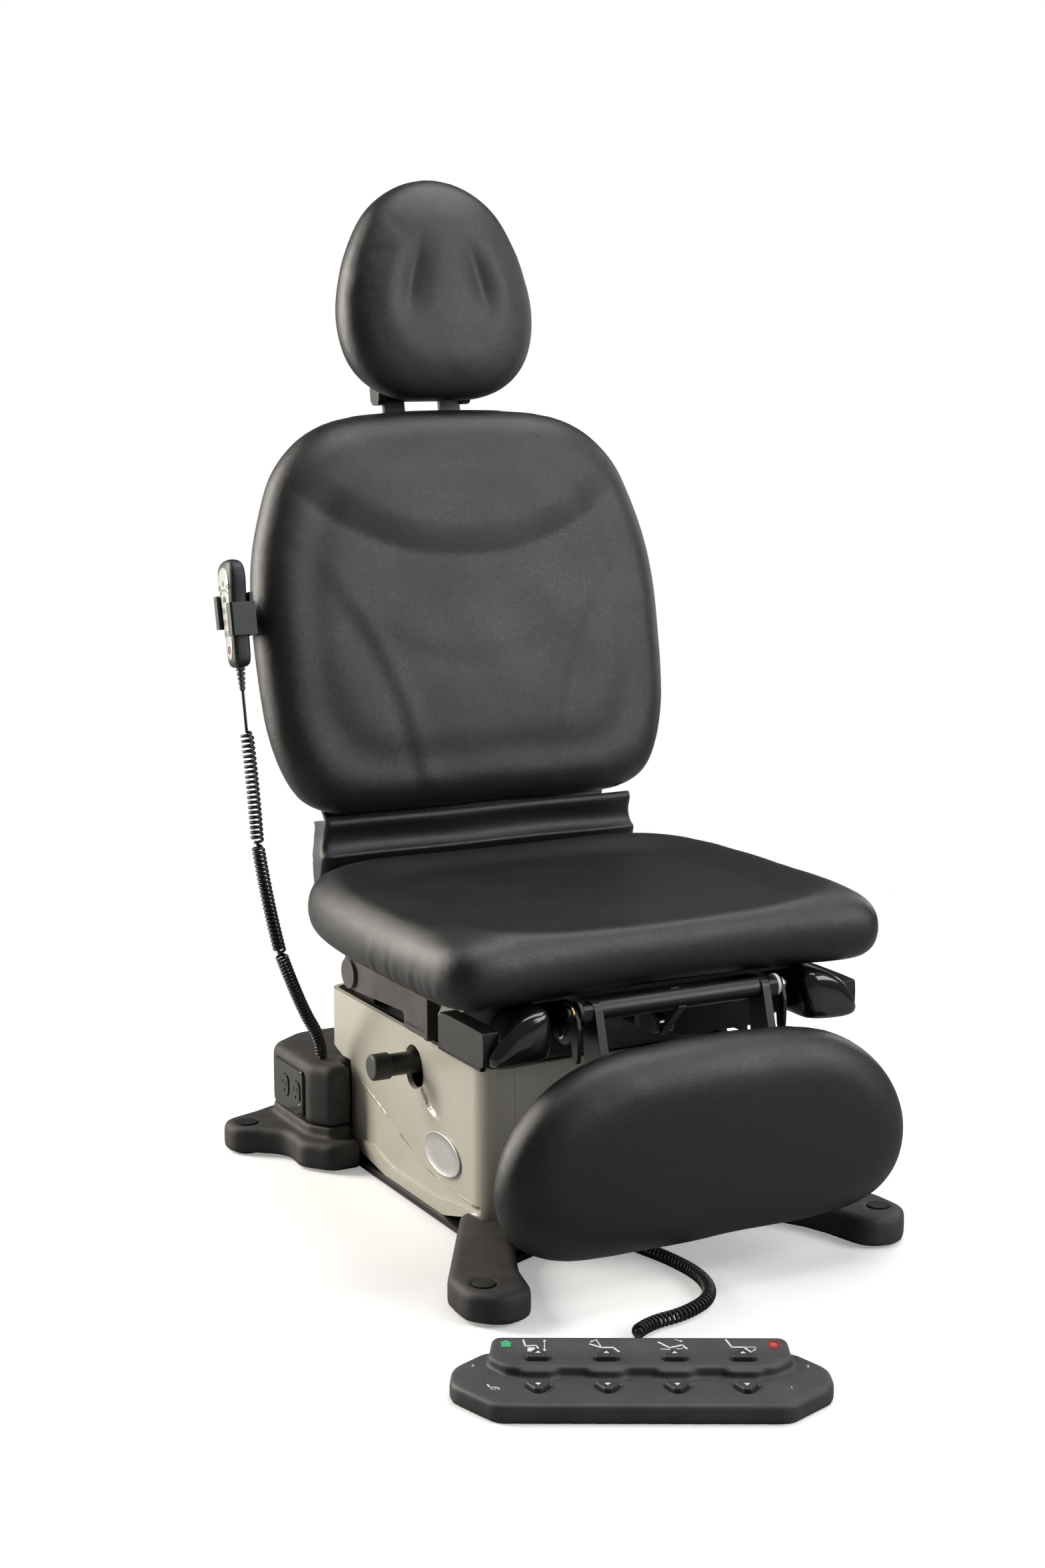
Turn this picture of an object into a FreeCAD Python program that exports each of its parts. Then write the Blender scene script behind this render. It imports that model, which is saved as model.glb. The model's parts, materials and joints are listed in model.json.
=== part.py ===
import FreeCAD, Part
import math
import os
import re

import Sketcher

# Powered procedure chair, in millimetres. The chair faces -Y, +Z is up, X = 0 is
# its plane of symmetry, and the origin is on the floor between the four feet.

V = FreeCAD.Vector

SIZES = [
    # name, value, what it measures
    ("foot_front_half", 315, "front foot plug, sideways from the middle"),
    ("foot_front_out", 385, "front foot plug, ahead of the origin"),
    ("foot_rear_half", 330, "rear foot plug, sideways from the middle"),
    ("foot_rear_out", 391, "rear foot plug, behind the origin"),
    ("glide_dia", 44, "levelling glide"),
    ("glide_thick", 4, "levelling glide"),
    ("stud_dia", 12, "stud of a glide"),
    ("stud_long", 22, "stud of a glide, above the disc"),
    ("plate_thick", 8, "chassis plate"),
    ("plate_half", 214, "chassis plate, half its width"),
    ("plate_front", 200, "chassis plate, front edge ahead of the origin"),
    ("plate_rear", 446, "chassis plate, rear edge"),
    ("pad_top", 45, "top of the foot covers above the floor"),
    ("pad_round", 11, "rounded upper edge of the foot covers"),
    ("plug_dia", 32, "round plug in a foot"),
    ("plug_deep", 8, "depth of the plug's recess"),
    ("skirt_top", 62, "top of the rear base cover under the housing"),
    ("skirt_front", 216, "front edge of the rear base cover behind the origin"),
    ("fit_gap", 0.4, "clearance round pieces that are let in"),
    ("housing_top", 158, "top of the power housing"),
    ("housing_half", 274, "power housing, half its width"),
    ("housing_front", 284, "front wall of the power housing"),
    ("housing_rear", 470, "rear wall of the power housing"),
    ("housing_wall", 4, "wall of the power housing"),
    ("panel_long", 112, "receptacle panel along the chair"),
    ("panel_tall", 74, "receptacle panel, height"),
    ("panel_thick", 4, "receptacle panel"),
    ("panel_mid", 350, "middle of the receptacle panel behind the origin"),
    ("outlet_tall", 36, "outlet, height"),
    ("outlet_wide", 27, "outlet, width"),
    ("outlet_pitch", 44, "distance between the two outlets"),
    ("cover_half", 207, "base cover, half its width"),
    ("cover_front", 182, "base cover, front face ahead of the origin"),
    ("cover_rear", 274, "base cover, lower rear edge"),
    ("cover_rear_top", 350, "base cover, upper rear edge"),
    ("cover_top", 260, "base cover, top edge"),
    ("cover_low", 30, "base cover, front lower edge"),
    ("cover_notch", 148, "rear end of the sweep above the floor"),
    ("cover_wall", 8, "base cover, full wall"),
    ("cover_recess", 4, "depth of the field below the sweep"),
    ("cover_corner", 40, "front corner radius of the base cover"),
    ("cover_seam", 161, "vertical seam of the base cover, from the middle"),
    ("seam_gap", 0.6, "width of a seam"),
    ("peg_back", 45, "lock lever behind the origin"),
    ("peg_up", 216, "lock lever above the floor"),
    ("peg_dia", 33, "tube of the lock lever"),
    ("peg_out", 48, "tube of the lock lever outside the cover"),
    ("grip_dia", 39, "rubber grip of the lock lever"),
    ("grip_long", 27, "rubber grip of the lock lever"),
    ("slot_wide", 50, "oval opening for the lock lever"),
    ("slot_tall", 66, "oval opening for the lock lever"),
    ("peg_axis", 170, "pivot of the lock lever from the middle"),
    ("col_mid", 45, "lift column behind the origin"),
    ("col_size", 100, "fixed tube of the lift column"),
    ("col_wall", 5, "tubes of the lift column"),
    ("col_gap", 0.5, "clearance between two column tubes"),
    ("col_top", 236, "top of the fixed tube"),
    ("stage_low", 34, "underside of the first stage"),
    ("stage_plate", 4, "bottom plates of the stages"),
    ("stage_step", 6, "height between the plates of two stages"),
    ("shroud_half", 150, "first shroud, half its width"),
    ("shroud_len", 195, "first shroud, half its length"),
    ("shroud_wall", 3, "wall of the shrouds"),
    ("shroud_gap", 4, "clearance between two shrouds"),
    ("deck_low", 252, "underside of the carriage deck"),
    ("deck_thick", 6, "carriage deck"),
    ("tilt_back", 267, "tilt axis behind the origin"),
    ("tilt_up", 298, "tilt axis above the floor"),
    ("tilt_pin", 24, "tilt pin"),
    ("lug_in", 158, "inner face of a tilt lug, from the middle"),
    ("lug_thick", 30, "tilt lug"),
    ("lug_round", 24, "radius of a tilt lug and of the arm round the pin"),
    ("pin_gap", 0.05, "radial clearance of the hinge pins"),
    ("arm_thick", 10, "side arm"),
    ("arm_low", 283, "lower edge of the side arm"),
    ("arm_step", 264, "lower edge of the side arm at its bracket"),
    ("arm_front", 20, "front end of the side arm ahead of the origin"),
    ("boss_dia", 46, "head of a tilt pin"),
    ("boss_thick", 5, "head of a tilt pin"),
    ("head_gap", 0.3, "clearance under the head of a tilt pin"),
    ("rail_in", 156, "seat rail, inner face"),
    ("rail_wide", 40, "seat rail, width"),
    ("rail_low", 340, "seat rail, underside"),
    ("rail_front", 300, "seat rail, front end ahead of the origin"),
    ("tie_low", 356, "cross ties of the seat frame, underside"),
    ("pan_low", 389, "seat pan, underside"),
    ("pan_thick", 6, "seat pan"),
    ("pan_half", 300, "seat pan, half its width"),
    ("bolt_hole", 11, "bolt holes of the accessory plates"),
    ("bolt_pitch", 96, "distance between two bolt holes"),
    ("plate_long", 131, "accessory plate along the chair"),
    ("plate_gap", 39, "accessory plate ahead of the side arm"),
    ("corner_out", 298, "corner cover, outer edge from the middle"),
    ("hinge_up", 378, "back and foot hinge axes above the floor"),
    ("back_hinge", 250, "back hinge axis behind the origin"),
    ("foot_hinge", 348, "foot hinge axis ahead of the origin"),
    ("hinge_pin", 16, "hinge pins of back and foot"),
    ("hinge_round", 15, "radius of the hinge lugs"),
    ("tube_dia", 28, "torque tubes of back and foot"),
    ("tube_half", 138, "torque tubes, half their length"),
    ("lug_play", 1, "side clearance of the torque tubes"),
    ("bar_thick", 12, "arms of the back and foot frames"),
    ("lever_thick", 12, "levers on the torque tubes"),
    ("rod_pin", 10, "pins of the actuator rods"),
    ("rod_dia", 18, "actuator rods"),
    ("rod_gap", 0.05, "radial clearance of the rods"),
    ("motor_wide", 60, "motors of the actuators"),
    ("motor_back", 21, "middle of the back motor behind the origin"),
    ("motor_foot", 82, "middle of the foot motor ahead of the origin"),
    ("rod_tube", 34, "actuator tubes"),
    ("back_drop", 46, "rod below the back hinge axis"),
    ("foot_drop", 44, "rod below the foot hinge axis"),
    ("lever_play", 3.2, "play of a rod pin in the back lever's slot, each side"),
    ("foot_play", 4.4, "play of a rod pin in the foot lever's slot, each side"),
    ("back_lean", 12, "lean of the back at rest, degrees"),
    ("back_swing", 78, "travel of the back, degrees"),
    ("foot_swing", 90, "travel of the foot section, degrees"),
    ("seat_rear", 226, "seat cushion, rear edge"),
    ("seat_front", 372, "seat cushion, front edge ahead of the origin"),
    ("seat_half", 353, "seat cushion, half its width"),
    ("seat_thick", 94, "seat cushion at its rim"),
    ("board_thick", 8, "board behind the back cushion"),
    ("board_face", 10, "board's front face ahead of the back hinge axis"),
    ("board_half", 255, "board, half its width"),
    ("board_low", 103, "board, lower edge above the hinge"),
    ("board_top", 735, "board, upper edge above the hinge"),
    ("pad_low", 162, "back cushion, lower edge above the hinge"),
    ("pad_high", 774, "back cushion, upper edge above the hinge"),
    ("pad_half", 350, "back cushion, half its greatest width"),
    ("pad_thick", 90, "back cushion"),
    ("flap_half", 266, "vinyl flap, half its width"),
    ("flap_thick", 54, "vinyl flap"),
    ("shell_half", 238, "rear shell of the back, half its width"),
    ("shell_deep", 38, "rear shell of the back"),
    ("shell_wall", 3, "rear shell of the back"),
    ("bars_half", 48, "headrest bar from the middle"),
    ("bars_wide", 35, "headrest bar, width"),
    ("bars_thick", 8, "headrest bar, thickness"),
    ("bars_back", 16, "headrest bars behind the back hinge axis"),
    ("bars_gap", 0.1, "clearance of a headrest bar in its guide"),
    ("head_hinge", 806, "headrest hinge above the back hinge"),
    ("head_low", 790, "headrest cushion, lower edge above the back hinge"),
    ("head_tall", 336, "headrest cushion, height"),
    ("head_half", 161, "headrest cushion, half its width"),
    ("head_thick", 92, "headrest cushion"),
    ("head_plate", 6, "plate behind the headrest cushion"),
    ("head_set", 18, "headrest plate ahead of the headrest bars"),
    ("head_nod", 4, "headrest leaned forward of the back, degrees"),
    ("head_axle", 16, "hinge rod of the headrest"),
    ("hand_mid", 382, "hand control from the middle"),
    ("hand_front", 82, "hand control ahead of the back hinge axis"),
    ("hand_thick", 28, "hand control"),
    ("hand_wide", 54, "hand control"),
    ("hand_low", 395, "hand control, lower end above the back hinge"),
    ("hand_tall", 158, "hand control"),
    ("clip_wall", 5, "clip of the hand control"),
    ("clip_gap", 0.5, "clearance of the hand control in its clip"),
    ("clip_low", 440, "clip, lower end above the back hinge"),
    ("clip_tall", 62, "clip of the hand control"),
    ("relief_long", 34, "strain relief of the hand control"),
    ("relief_dia", 13, "strain relief at the hand control"),
    ("leg_face", 36, "rear face of the foot shell ahead of the foot hinge"),
    ("leg_shell", 8, "shell behind the foot cushion"),
    ("leg_thick", 82, "foot cushion"),
    ("leg_low", 66, "foot cushion, lower edge above the floor"),
    ("leg_high", 348, "foot cushion, upper edge above the floor"),
    ("leg_half", 317, "foot cushion, half its width"),
    ("washer_dia", 32, "bearing washers at the foot hinge"),
    ("washer_thick", 5, "bearing washers at the foot hinge"),
    ("box_x", -258, "middle of the foot control, sideways"),
    ("box_y", -690, "middle of the foot control, along the chair"),
    ("box_turn", 28.5, "foot control turned about Z, degrees"),
    ("box_half", 232, "foot control, half its width"),
    ("box_front", 88, "foot control, front edge from its middle"),
    ("box_rear", 70, "foot control, rear edge from its middle"),
    ("box_low_deck", 24, "foot control, lower deck above the floor"),
    ("box_high_deck", 37, "foot control, upper deck above the floor"),
    ("key_wide", 31, "key of the foot control"),
    ("key_deep", 24, "key of the foot control"),
    ("key_rise", 5, "key above its deck"),
    ("key_sink", 6, "key below its deck"),
    ("key_travel", 2.5, "travel of a key"),
    ("key_pitch", 83, "distance between two keys"),
    ("lead_long", 79, "plain end of the foot control's cord"),
    ("cord_dia", 4.6, "wire of the curly cords"),
    ("curl_dia", 17, "outer diameter of the curls"),
    ("curl_ramp", 18, "length over which the first and last curl swell"),
]

doc = FreeCAD.newDocument("procedure_chair")
dims = doc.addObject("Spreadsheet::Sheet", "dims")
for row, (alias, size, meaning) in enumerate(SIZES, start=1):
    dims.set(f"A{row}", alias)
    dims.set(f"B{row}", str(size))
    dims.set(f"C{row}", meaning)
    dims.setAlias(f"B{row}", alias)
doc.recompute()
NAMES = {alias for alias, _, _ in SIZES}
NODES = {}


def formula(text):
    """Expression on the sheet for a text that names sizes."""
    return re.sub(
        r"[a-z][a-z0-9_]*",
        lambda word: "dims." + word.group(0) if word.group(0) in NAMES else word.group(0),
        str(text),
    )


def size(text):
    """Number that a text naming sizes stands for."""
    found = dims.evalExpression(formula(text))
    return float(getattr(found, "Value", found))


def node(name, thing):
    """Hand an object in as the sub-part of this name."""
    thing.Label = name
    NODES[name] = thing
    return thing


def bind(thing, **formulas):
    """Bind properties of an object to formulas; __ stands for a dot."""
    for key, text in formulas.items():
        thing.setExpression(key.replace("__", "."), formula(text))
    return thing


def move(thing, x="0", y="0", z="0"):
    """Bind an object's place."""
    return bind(thing, Placement__Base__x=x, Placement__Base__y=y, Placement__Base__z=z)


def turn(thing, axis, angle, x="0", y="0", z="0"):
    """Turn an object about an axis through a point, both bound to the sheet."""
    thing.Placement = FreeCAD.Placement(V(size(x), size(y), size(z)), FreeCAD.Rotation(axis, size(angle)))
    move(thing, x, y, z)
    return bind(thing, Placement__Rotation__Angle=angle)


def lean(thing):
    """Set a piece drawn upright about the back hinge to the lean of the back."""
    return turn(thing, V(-1, 0, 0), "back_lean", "0", "back_hinge", "hinge_up")


def block(name, x, y, z):
    """Box between pairs of formulas."""
    box = doc.addObject("Part::Box", name)
    for prop, axis, (low, high) in (("Length", "x", x), ("Width", "y", y), ("Height", "z", z)):
        box.setExpression(prop, formula(f"({high}) - ({low})"))
        box.setExpression("Placement.Base." + axis, formula(low))
    return box


def rod(name, axis, diameter, low, high, first, second):
    """Cylinder along X, Y or Z between two formulas; first and second place its axis."""
    towards = {"X": V(1, 0, 0), "Y": V(0, 1, 0), "Z": V(0, 0, 1)}[axis]
    bar = doc.addObject("Part::Cylinder", name)
    bar.Placement = FreeCAD.Placement(V(), FreeCAD.Rotation(V(0, 0, 1), towards))
    place = {"X": (low, first, second), "Y": (first, low, second), "Z": (first, second, low)}[axis]
    bind(bar, Radius=f"({diameter}) / 2", Height=f"({high}) - ({low})")
    return move(bar, *place)


def fuse(name, *things):
    """One solid of several."""
    joined = doc.addObject("Part::MultiFuse", name)
    joined.Shapes = list(things)
    joined.Refine = True
    return joined


def cut(name, base, *tools):
    """Base less the tools."""
    left = doc.addObject("Part::Cut", name)
    left.Base = base
    left.Tool = tools[0] if len(tools) == 1 else group(name + "_tools", *tools)
    left.Refine = False
    return left


def common(name, base, tool):
    """What two objects share."""
    shared = doc.addObject("Part::Common", name)
    shared.Base, shared.Tool = base, tool
    return shared


def group(name, *things):
    """Several solids as one object."""
    together = doc.addObject("Part::Compound", name)
    together.Links = list(things)
    return together


def mirror(name, thing):
    """The same piece on the other side of the chair."""
    other = doc.addObject("Part::Mirroring", name)
    other.Source = thing
    other.Normal = V(1, 0, 0)
    other.Base = V(0, 0, 0)
    return other


def both(name, thing):
    """A piece and its mirror image as one object."""
    return group(name, thing, mirror(name + "_other", thing))


def prism(name, plane, outline, low, high, rounds=None, rim=None, taper=None):
    """Padded sketch.

    outline holds pairs of formulas, in (x, y), (x, z) or (y, z). rounds maps an
    outline point to the radius of the edge there. rim is ("low" or "high", radius),
    with a test on an edge's middle where only some edges are rounded.
    """
    body = doc.addObject("PartDesign::Body", name)
    sketch = body.newObject("Sketcher::SketchObject", name + "_sketch")
    support = next(f for f in body.Origin.OriginFeatures if f.Role == plane + "_Plane")
    sketch.AttachmentSupport = [(support, "")]
    sketch.MapMode = "FlatFace"
    # The XZ plane looks along -Y, so its pad starts at the far end.
    start = f"-({high})" if plane == "XZ" else low
    sketch.setExpression("AttachmentOffset.Base.z", formula(start))
    corners = [V(size(a), size(b), 0) for a, b in outline]
    count = len(corners)
    for i in range(count):
        sketch.addGeometry(Part.LineSegment(corners[i], corners[(i + 1) % count]), False)
    for i in range(count):
        sketch.addConstraint(Sketcher.Constraint("Coincident", i, 2, (i + 1) % count, 1))
    for i, pair in enumerate(outline):
        for kind, axis, value, text in (
            ("DistanceX", -2, corners[i].x, pair[0]),
            ("DistanceY", -1, corners[i].y, pair[1]),
        ):
            if abs(value) < 1e-9:
                sketch.addConstraint(Sketcher.Constraint("PointOnObject", i, 1, axis))
                continue
            index = sketch.addConstraint(Sketcher.Constraint(kind, -1, 1, i, 1, value))
            sketch.setExpression(f"Constraints[{index}]", formula(text))
    pad = body.newObject("PartDesign::Pad", name + "_pad")
    pad.Profile = sketch
    pad.setExpression("Length", formula(f"({high}) - ({low})"))
    if taper:
        pad.TaperAngle = taper
    doc.recompute()
    flat = {"XY": lambda p: (p.x, p.y), "XZ": lambda p: (p.x, p.z), "YZ": lambda p: (p.y, p.z)}[plane]
    along = {"XY": lambda p: p.z, "XZ": lambda p: p.y, "YZ": lambda p: p.x}[plane]
    last = pad
    wanted = {}
    for point, radius in (rounds or {}).items():
        wanted.setdefault(str(radius), []).append(point)
    for number, (radius, points) in enumerate(wanted.items()):
        names = []
        for index, edge in enumerate(last.Shape.Edges, start=1):
            ends = [v.Point for v in edge.Vertexes]
            if len(ends) != 2 or abs(along(ends[0]) - along(ends[1])) < 1e-6:
                continue
            for point in points:
                spot = corners[point]
                if all(math.dist(flat(e), (spot.x, spot.y)) < 1e-4 for e in ends):
                    names.append(f"Edge{index}")
        last = fillet(body, f"{name}_round_{number}", last, names, radius)
    if rim:
        level = size(high if rim[0] == "high" else low)
        names = [
            f"Edge{index}"
            for index, edge in enumerate(last.Shape.Edges, start=1)
            if all(abs(along(v.Point) - level) < 1e-6 for v in edge.Vertexes)
            and (len(rim) < 3 or rim[2](edge.CenterOfMass))
        ]
        last = fillet(body, name + "_rim", last, names, rim[1])
    return body


def fillet(body, name, base, names, radius):
    """Rounded edges of a body's last feature."""
    feature = body.newObject("PartDesign::Fillet", name)
    feature.Base = (base, names)
    feature.setExpression("Radius", formula(radius))
    doc.recompute()
    return feature


def free(name, shape):
    """Object for a lofted or swept shape."""
    thing = doc.addObject("Part::Feature", name)
    thing.Shape = shape
    return thing


def closed_line(half, inset, at):
    """Smooth closed wire through the right half of an outline and its mirror image.

    half runs from the lower middle to the upper middle. The outline is drawn in by
    inset towards its middle and set in space by at.
    """
    wide = max(x for x, _ in half)
    low, high = half[0][1], half[-1][1]
    mid, tall = (low + high) / 2, (high - low) / 2
    narrow, short = 1 - inset / wide, 1 - inset / tall
    whole = half + [(-x, y) for x, y in reversed(half[1:-1])]
    curve = Part.BSplineCurve()
    curve.interpolate(
        Points=[at(V(x * narrow, mid + (y - mid) * short, 0)) for x, y in whole], PeriodicFlag=True,
    )
    return Part.Wire([curve.toShape()])


def cushion(name, half, layers, at):
    """Padded solid: the outline lofted through layers of (height, inset)."""
    wires = [closed_line(half, inset, lambda p, w=level: at(p, w)) for level, inset in layers]
    return free(name, Part.makeLoft(wires, True, False))


# Base: chassis plate, glides and foot covers

def stud_holes(name, gap, top):
    """Bores for the studs of the glides."""
    places = (
        ("foot_front_half", "-foot_front_out"), ("-foot_front_half", "-foot_front_out"),
        ("foot_rear_half", "foot_rear_out"), ("-foot_rear_half", "foot_rear_out"),
    )
    return [
        rod(f"{name}_{i}", "Z", f"stud_dia + {gap}", "0", top, x, y)
        for i, (x, y) in enumerate(places)
    ]


plate_half_outline = [
    ("70", "-plate_front"), ("plate_half - 20", "-plate_front - 50"),
    ("foot_front_half - 26", "-foot_front_out - 20"), ("foot_front_half + 6", "-foot_front_out - 20"),
    ("foot_front_half + 16", "-foot_front_out + 26"), ("plate_half", "-cover_front + 30"),
    ("plate_half", "foot_rear_out - 80"), ("foot_rear_half", "foot_rear_out - 22"),
    ("foot_rear_half + 14", "foot_rear_out + 8"), ("foot_rear_half - 20", "foot_rear_out + 24"),
    ("plate_half", "plate_rear"),
]
plate_outline = plate_half_outline + [(f"-({x})", y) for x, y in reversed(plate_half_outline)]
PLATE_TOP = "glide_thick + plate_thick"
plate_body = prism(
    "plate_body", "XY", plate_outline, "glide_thick", PLATE_TOP, {2: 14, 3: 14, 19: 14, 18: 14},
)
node("base_plate", cut("base_plate", plate_body, *stud_holes("plate_bore", "2 * fit_gap", PLATE_TOP)))

glides = []
for i, (side_x, side_y) in enumerate((
    ("foot_front_half", "-foot_front_out"), ("-foot_front_half", "-foot_front_out"),
    ("foot_rear_half", "foot_rear_out"), ("-foot_rear_half", "foot_rear_out"),
)):
    disc = rod(f"glide_disc_{i}", "Z", "glide_dia", "0", "glide_thick", side_x, side_y)
    stud = rod(f"glide_stud_{i}", "Z", "stud_dia", "0", "glide_thick + stud_long", side_x, side_y)
    glides.append(fuse(f"glide_{i}", disc, stud))
node("levelling_glides", group("levelling_glides", *glides))

plugs = []
for i, (side_x, side_y) in enumerate((
    ("foot_front_half", "-foot_front_out"), ("-foot_front_half", "-foot_front_out"),
    ("foot_rear_half", "foot_rear_out"), ("-foot_rear_half", "foot_rear_out"),
)):
    plugs.append(
        rod(f"plug_{i}", "Z", "plug_dia - fit_gap", "pad_top - plug_deep", "pad_top + 1", side_x, side_y),
    )
node("foot_plugs", group("foot_plugs", *plugs))


def foot_hollow(name, x, y):
    """Recess of a plug, bore of a stud and room for a glide in a foot cover."""
    recess = rod(name + "_recess", "Z", "plug_dia", "pad_top - plug_deep", "pad_top + 5", x, y)
    bore = rod(name + "_bore", "Z", "stud_dia + 2 * fit_gap", "0", "glide_thick + stud_long + 2", x, y)
    disc = rod(name + "_disc", "Z", "glide_dia + 4 * fit_gap", "0", "glide_thick + fit_gap", x, y)
    return [recess, bore, disc]


def grown(outline, gap):
    """Outline of formulas moved outwards by a gap, as numbers."""
    points = [V(size(x), size(y), 0) for x, y in outline]
    turning = sum(a.x * b.y - a.y * b.x for a, b in zip(points, points[1:] + points[:1]))
    out = gap if turning > 0 else -gap
    lines = []
    for a, b in zip(points, points[1:] + points[:1]):
        along = (b - a).normalize()
        lines.append((a + V(along.y, -along.x, 0) * out, along))
    moved = []
    for i in range(len(points)):
        (p, d), (q, e) = lines[i - 1], lines[i]
        gone = q - p
        spot = p + d * ((gone.x * e.y - gone.y * e.x) / (d.x * e.y - d.y * e.x))
        moved.append((f"{spot.x:.6f}", f"{spot.y:.6f}"))
    return moved


def plate_pocket(name):
    """Room for the chassis plate in a cover that stands on it."""
    return prism(name, "XY", grown(plate_outline, size("fit_gap")), "0", PLATE_TOP)


front_pad = prism(
    "front_pad", "XY",
    [
        ("-foot_front_half - 31", "-foot_front_out + 45"),
        ("-foot_front_half - 35", "-foot_front_out - 18"),
        ("-foot_front_half + 2", "-foot_front_out - 56"),
        ("-foot_front_half + 52", "-foot_front_out - 44"),
        ("-foot_front_half + 70", "-foot_front_out + 30"),
        ("-foot_front_half + 118", "-cover_front - 62"), ("-cover_seam + 20", "-cover_front - 26"),
        ("-cover_seam + 20", "-cover_front - 1"), ("-cover_half - 1", "-cover_front - 1"),
        ("-cover_half - 1", "-cover_front + 46"), ("-plate_half - 10", "-cover_front + 46"),
    ],
    "glide_thick - 1", "pad_top",
    {0: 50, 1: 36, 2: 36, 3: 36, 4: 60, 5: 60},
    ("high", "pad_round", lambda mid: mid.y < size("-cover_front - 30") or mid.x < size("-plate_half - 4")),
)
node("front_foot_cover_left", cut(
    "front_foot_cover_left", front_pad,
    *foot_hollow("front_foot", "-foot_front_half", "-foot_front_out"), plate_pocket("front_pocket"),
))
node("front_foot_cover_right", mirror("front_foot_cover_right", NODES["front_foot_cover_left"]))

rear_half_outline = [
    ("plate_half + 2", "skirt_front"), ("housing_half - 12", "skirt_front"),
    ("housing_half + 24", "skirt_front + 46"), ("housing_half + 18", "housing_front + 34"),
    ("foot_rear_half - 6", "foot_rear_out - 42"), ("foot_rear_half + 36", "foot_rear_out - 14"),
    ("foot_rear_half + 30", "foot_rear_out + 34"), ("foot_rear_half - 30", "foot_rear_out + 54"),
    ("housing_half - 60", "housing_rear + 14"),
]
rear_pad = prism(
    "rear_pad", "XY",
    rear_half_outline + [(f"-({x})", y) for x, y in reversed(rear_half_outline)],
    "glide_thick - 1", "pad_top",
    {1: 26, 2: 26, 3: 40, 4: 30, 5: 30, 6: 30, 7: 40, 16: 26, 15: 26, 14: 40, 13: 30, 12: 30, 11: 30, 10: 40},
    ("high", "pad_round"),
)
WING = "housing_half - cover_half - 6"
housing_half_outline = [
    ("cover_half + 6", "housing_front - 34"), (f"cover_half + 6 + ({WING}) * 0.607", "housing_front - 34"),
    ("housing_half", "housing_front"), ("housing_half", "housing_rear - 42"),
    ("housing_half - 60", "housing_rear"),
]
housing_outline = (
    housing_half_outline + [(f"-({x})", y) for x, y in reversed(housing_half_outline)]
    + [("-cover_half - 6", "housing_front"), ("cover_half + 6", "housing_front")]
)
HOUSING_ROUNDS = {2: 24, 3: 34, 4: 34, 5: 34, 6: 34, 7: 24}
rear_step = prism("rear_step", "XY", housing_outline, "pad_top - 15", "skirt_top", HOUSING_ROUNDS)
node("rear_base_cover", cut(
    "rear_base_cover", fuse("rear_base_whole", rear_pad, rear_step),
    *foot_hollow("rear_foot_left", "-foot_rear_half", "foot_rear_out"),
    *foot_hollow("rear_foot_right", "foot_rear_half", "foot_rear_out"),
    plate_pocket("rear_pocket"),
    block(
        "rear_cover_room", ("-plate_half - 1", "plate_half + 1"), ("0", "cover_rear + 1"),
        ("0", "skirt_top + 9"),
    ),
))

# Rear power housing with its receptacle panel

housing = prism(
    "housing_outer", "XY", housing_outline, "skirt_top", "housing_top", HOUSING_ROUNDS, (
        "high", f"({WING}) * 0.23",
    ),
)
inner_half = [
    ("housing_half - housing_wall", "housing_front + housing_wall"),
    ("housing_half - housing_wall", "housing_rear - 46"), (
        "housing_half - 66", "housing_rear - housing_wall - 4",
    ),
]
housing_room = prism(
    "housing_room", "XY", inner_half + [(f"-({x})", y) for x, y in reversed(inner_half)],
    "skirt_top", "housing_top - housing_wall - 10", {0: 16, 1: 30, 2: 30, 3: 30, 4: 30, 5: 16},
)
PANEL_UP = "(skirt_top + housing_top) / 2 - 4"
node("power_housing", cut("power_housing", housing, housing_room))
panel_plate = prism(
    "panel_plate", "YZ",
    [
        ("panel_mid - panel_long / 2", f"{PANEL_UP} - panel_tall / 2"),
        ("panel_mid + panel_long / 2", f"{PANEL_UP} - panel_tall / 2"),
        ("panel_mid + panel_long / 2", f"{PANEL_UP} + panel_tall / 2"),
        ("panel_mid - panel_long / 2", f"{PANEL_UP} + panel_tall / 2"),
    ],
    "-housing_half - panel_thick", "-housing_half", {0: 8, 1: 8, 2: 8, 3: 8}, ("low", 1.5),
)


def outlet(name, mid, grow, low, high):
    """Rounded body of an outlet, or its opening in the panel."""
    wide, tall = f"outlet_wide / 2 + {grow}", f"outlet_tall / 2 + {grow}"
    return prism(
        name, "YZ",
        [(f"{mid} - {wide}", f"{PANEL_UP} - {tall}"), (f"{mid} + {wide}", f"{PANEL_UP} - {tall}"),
         (f"{mid} + {wide}", f"{PANEL_UP} + {tall}"), (f"{mid} - {wide}", f"{PANEL_UP} + {tall}")],
        low, high, {i: "outlet_wide / 2 - 1" for i in range(4)},
    )


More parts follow.
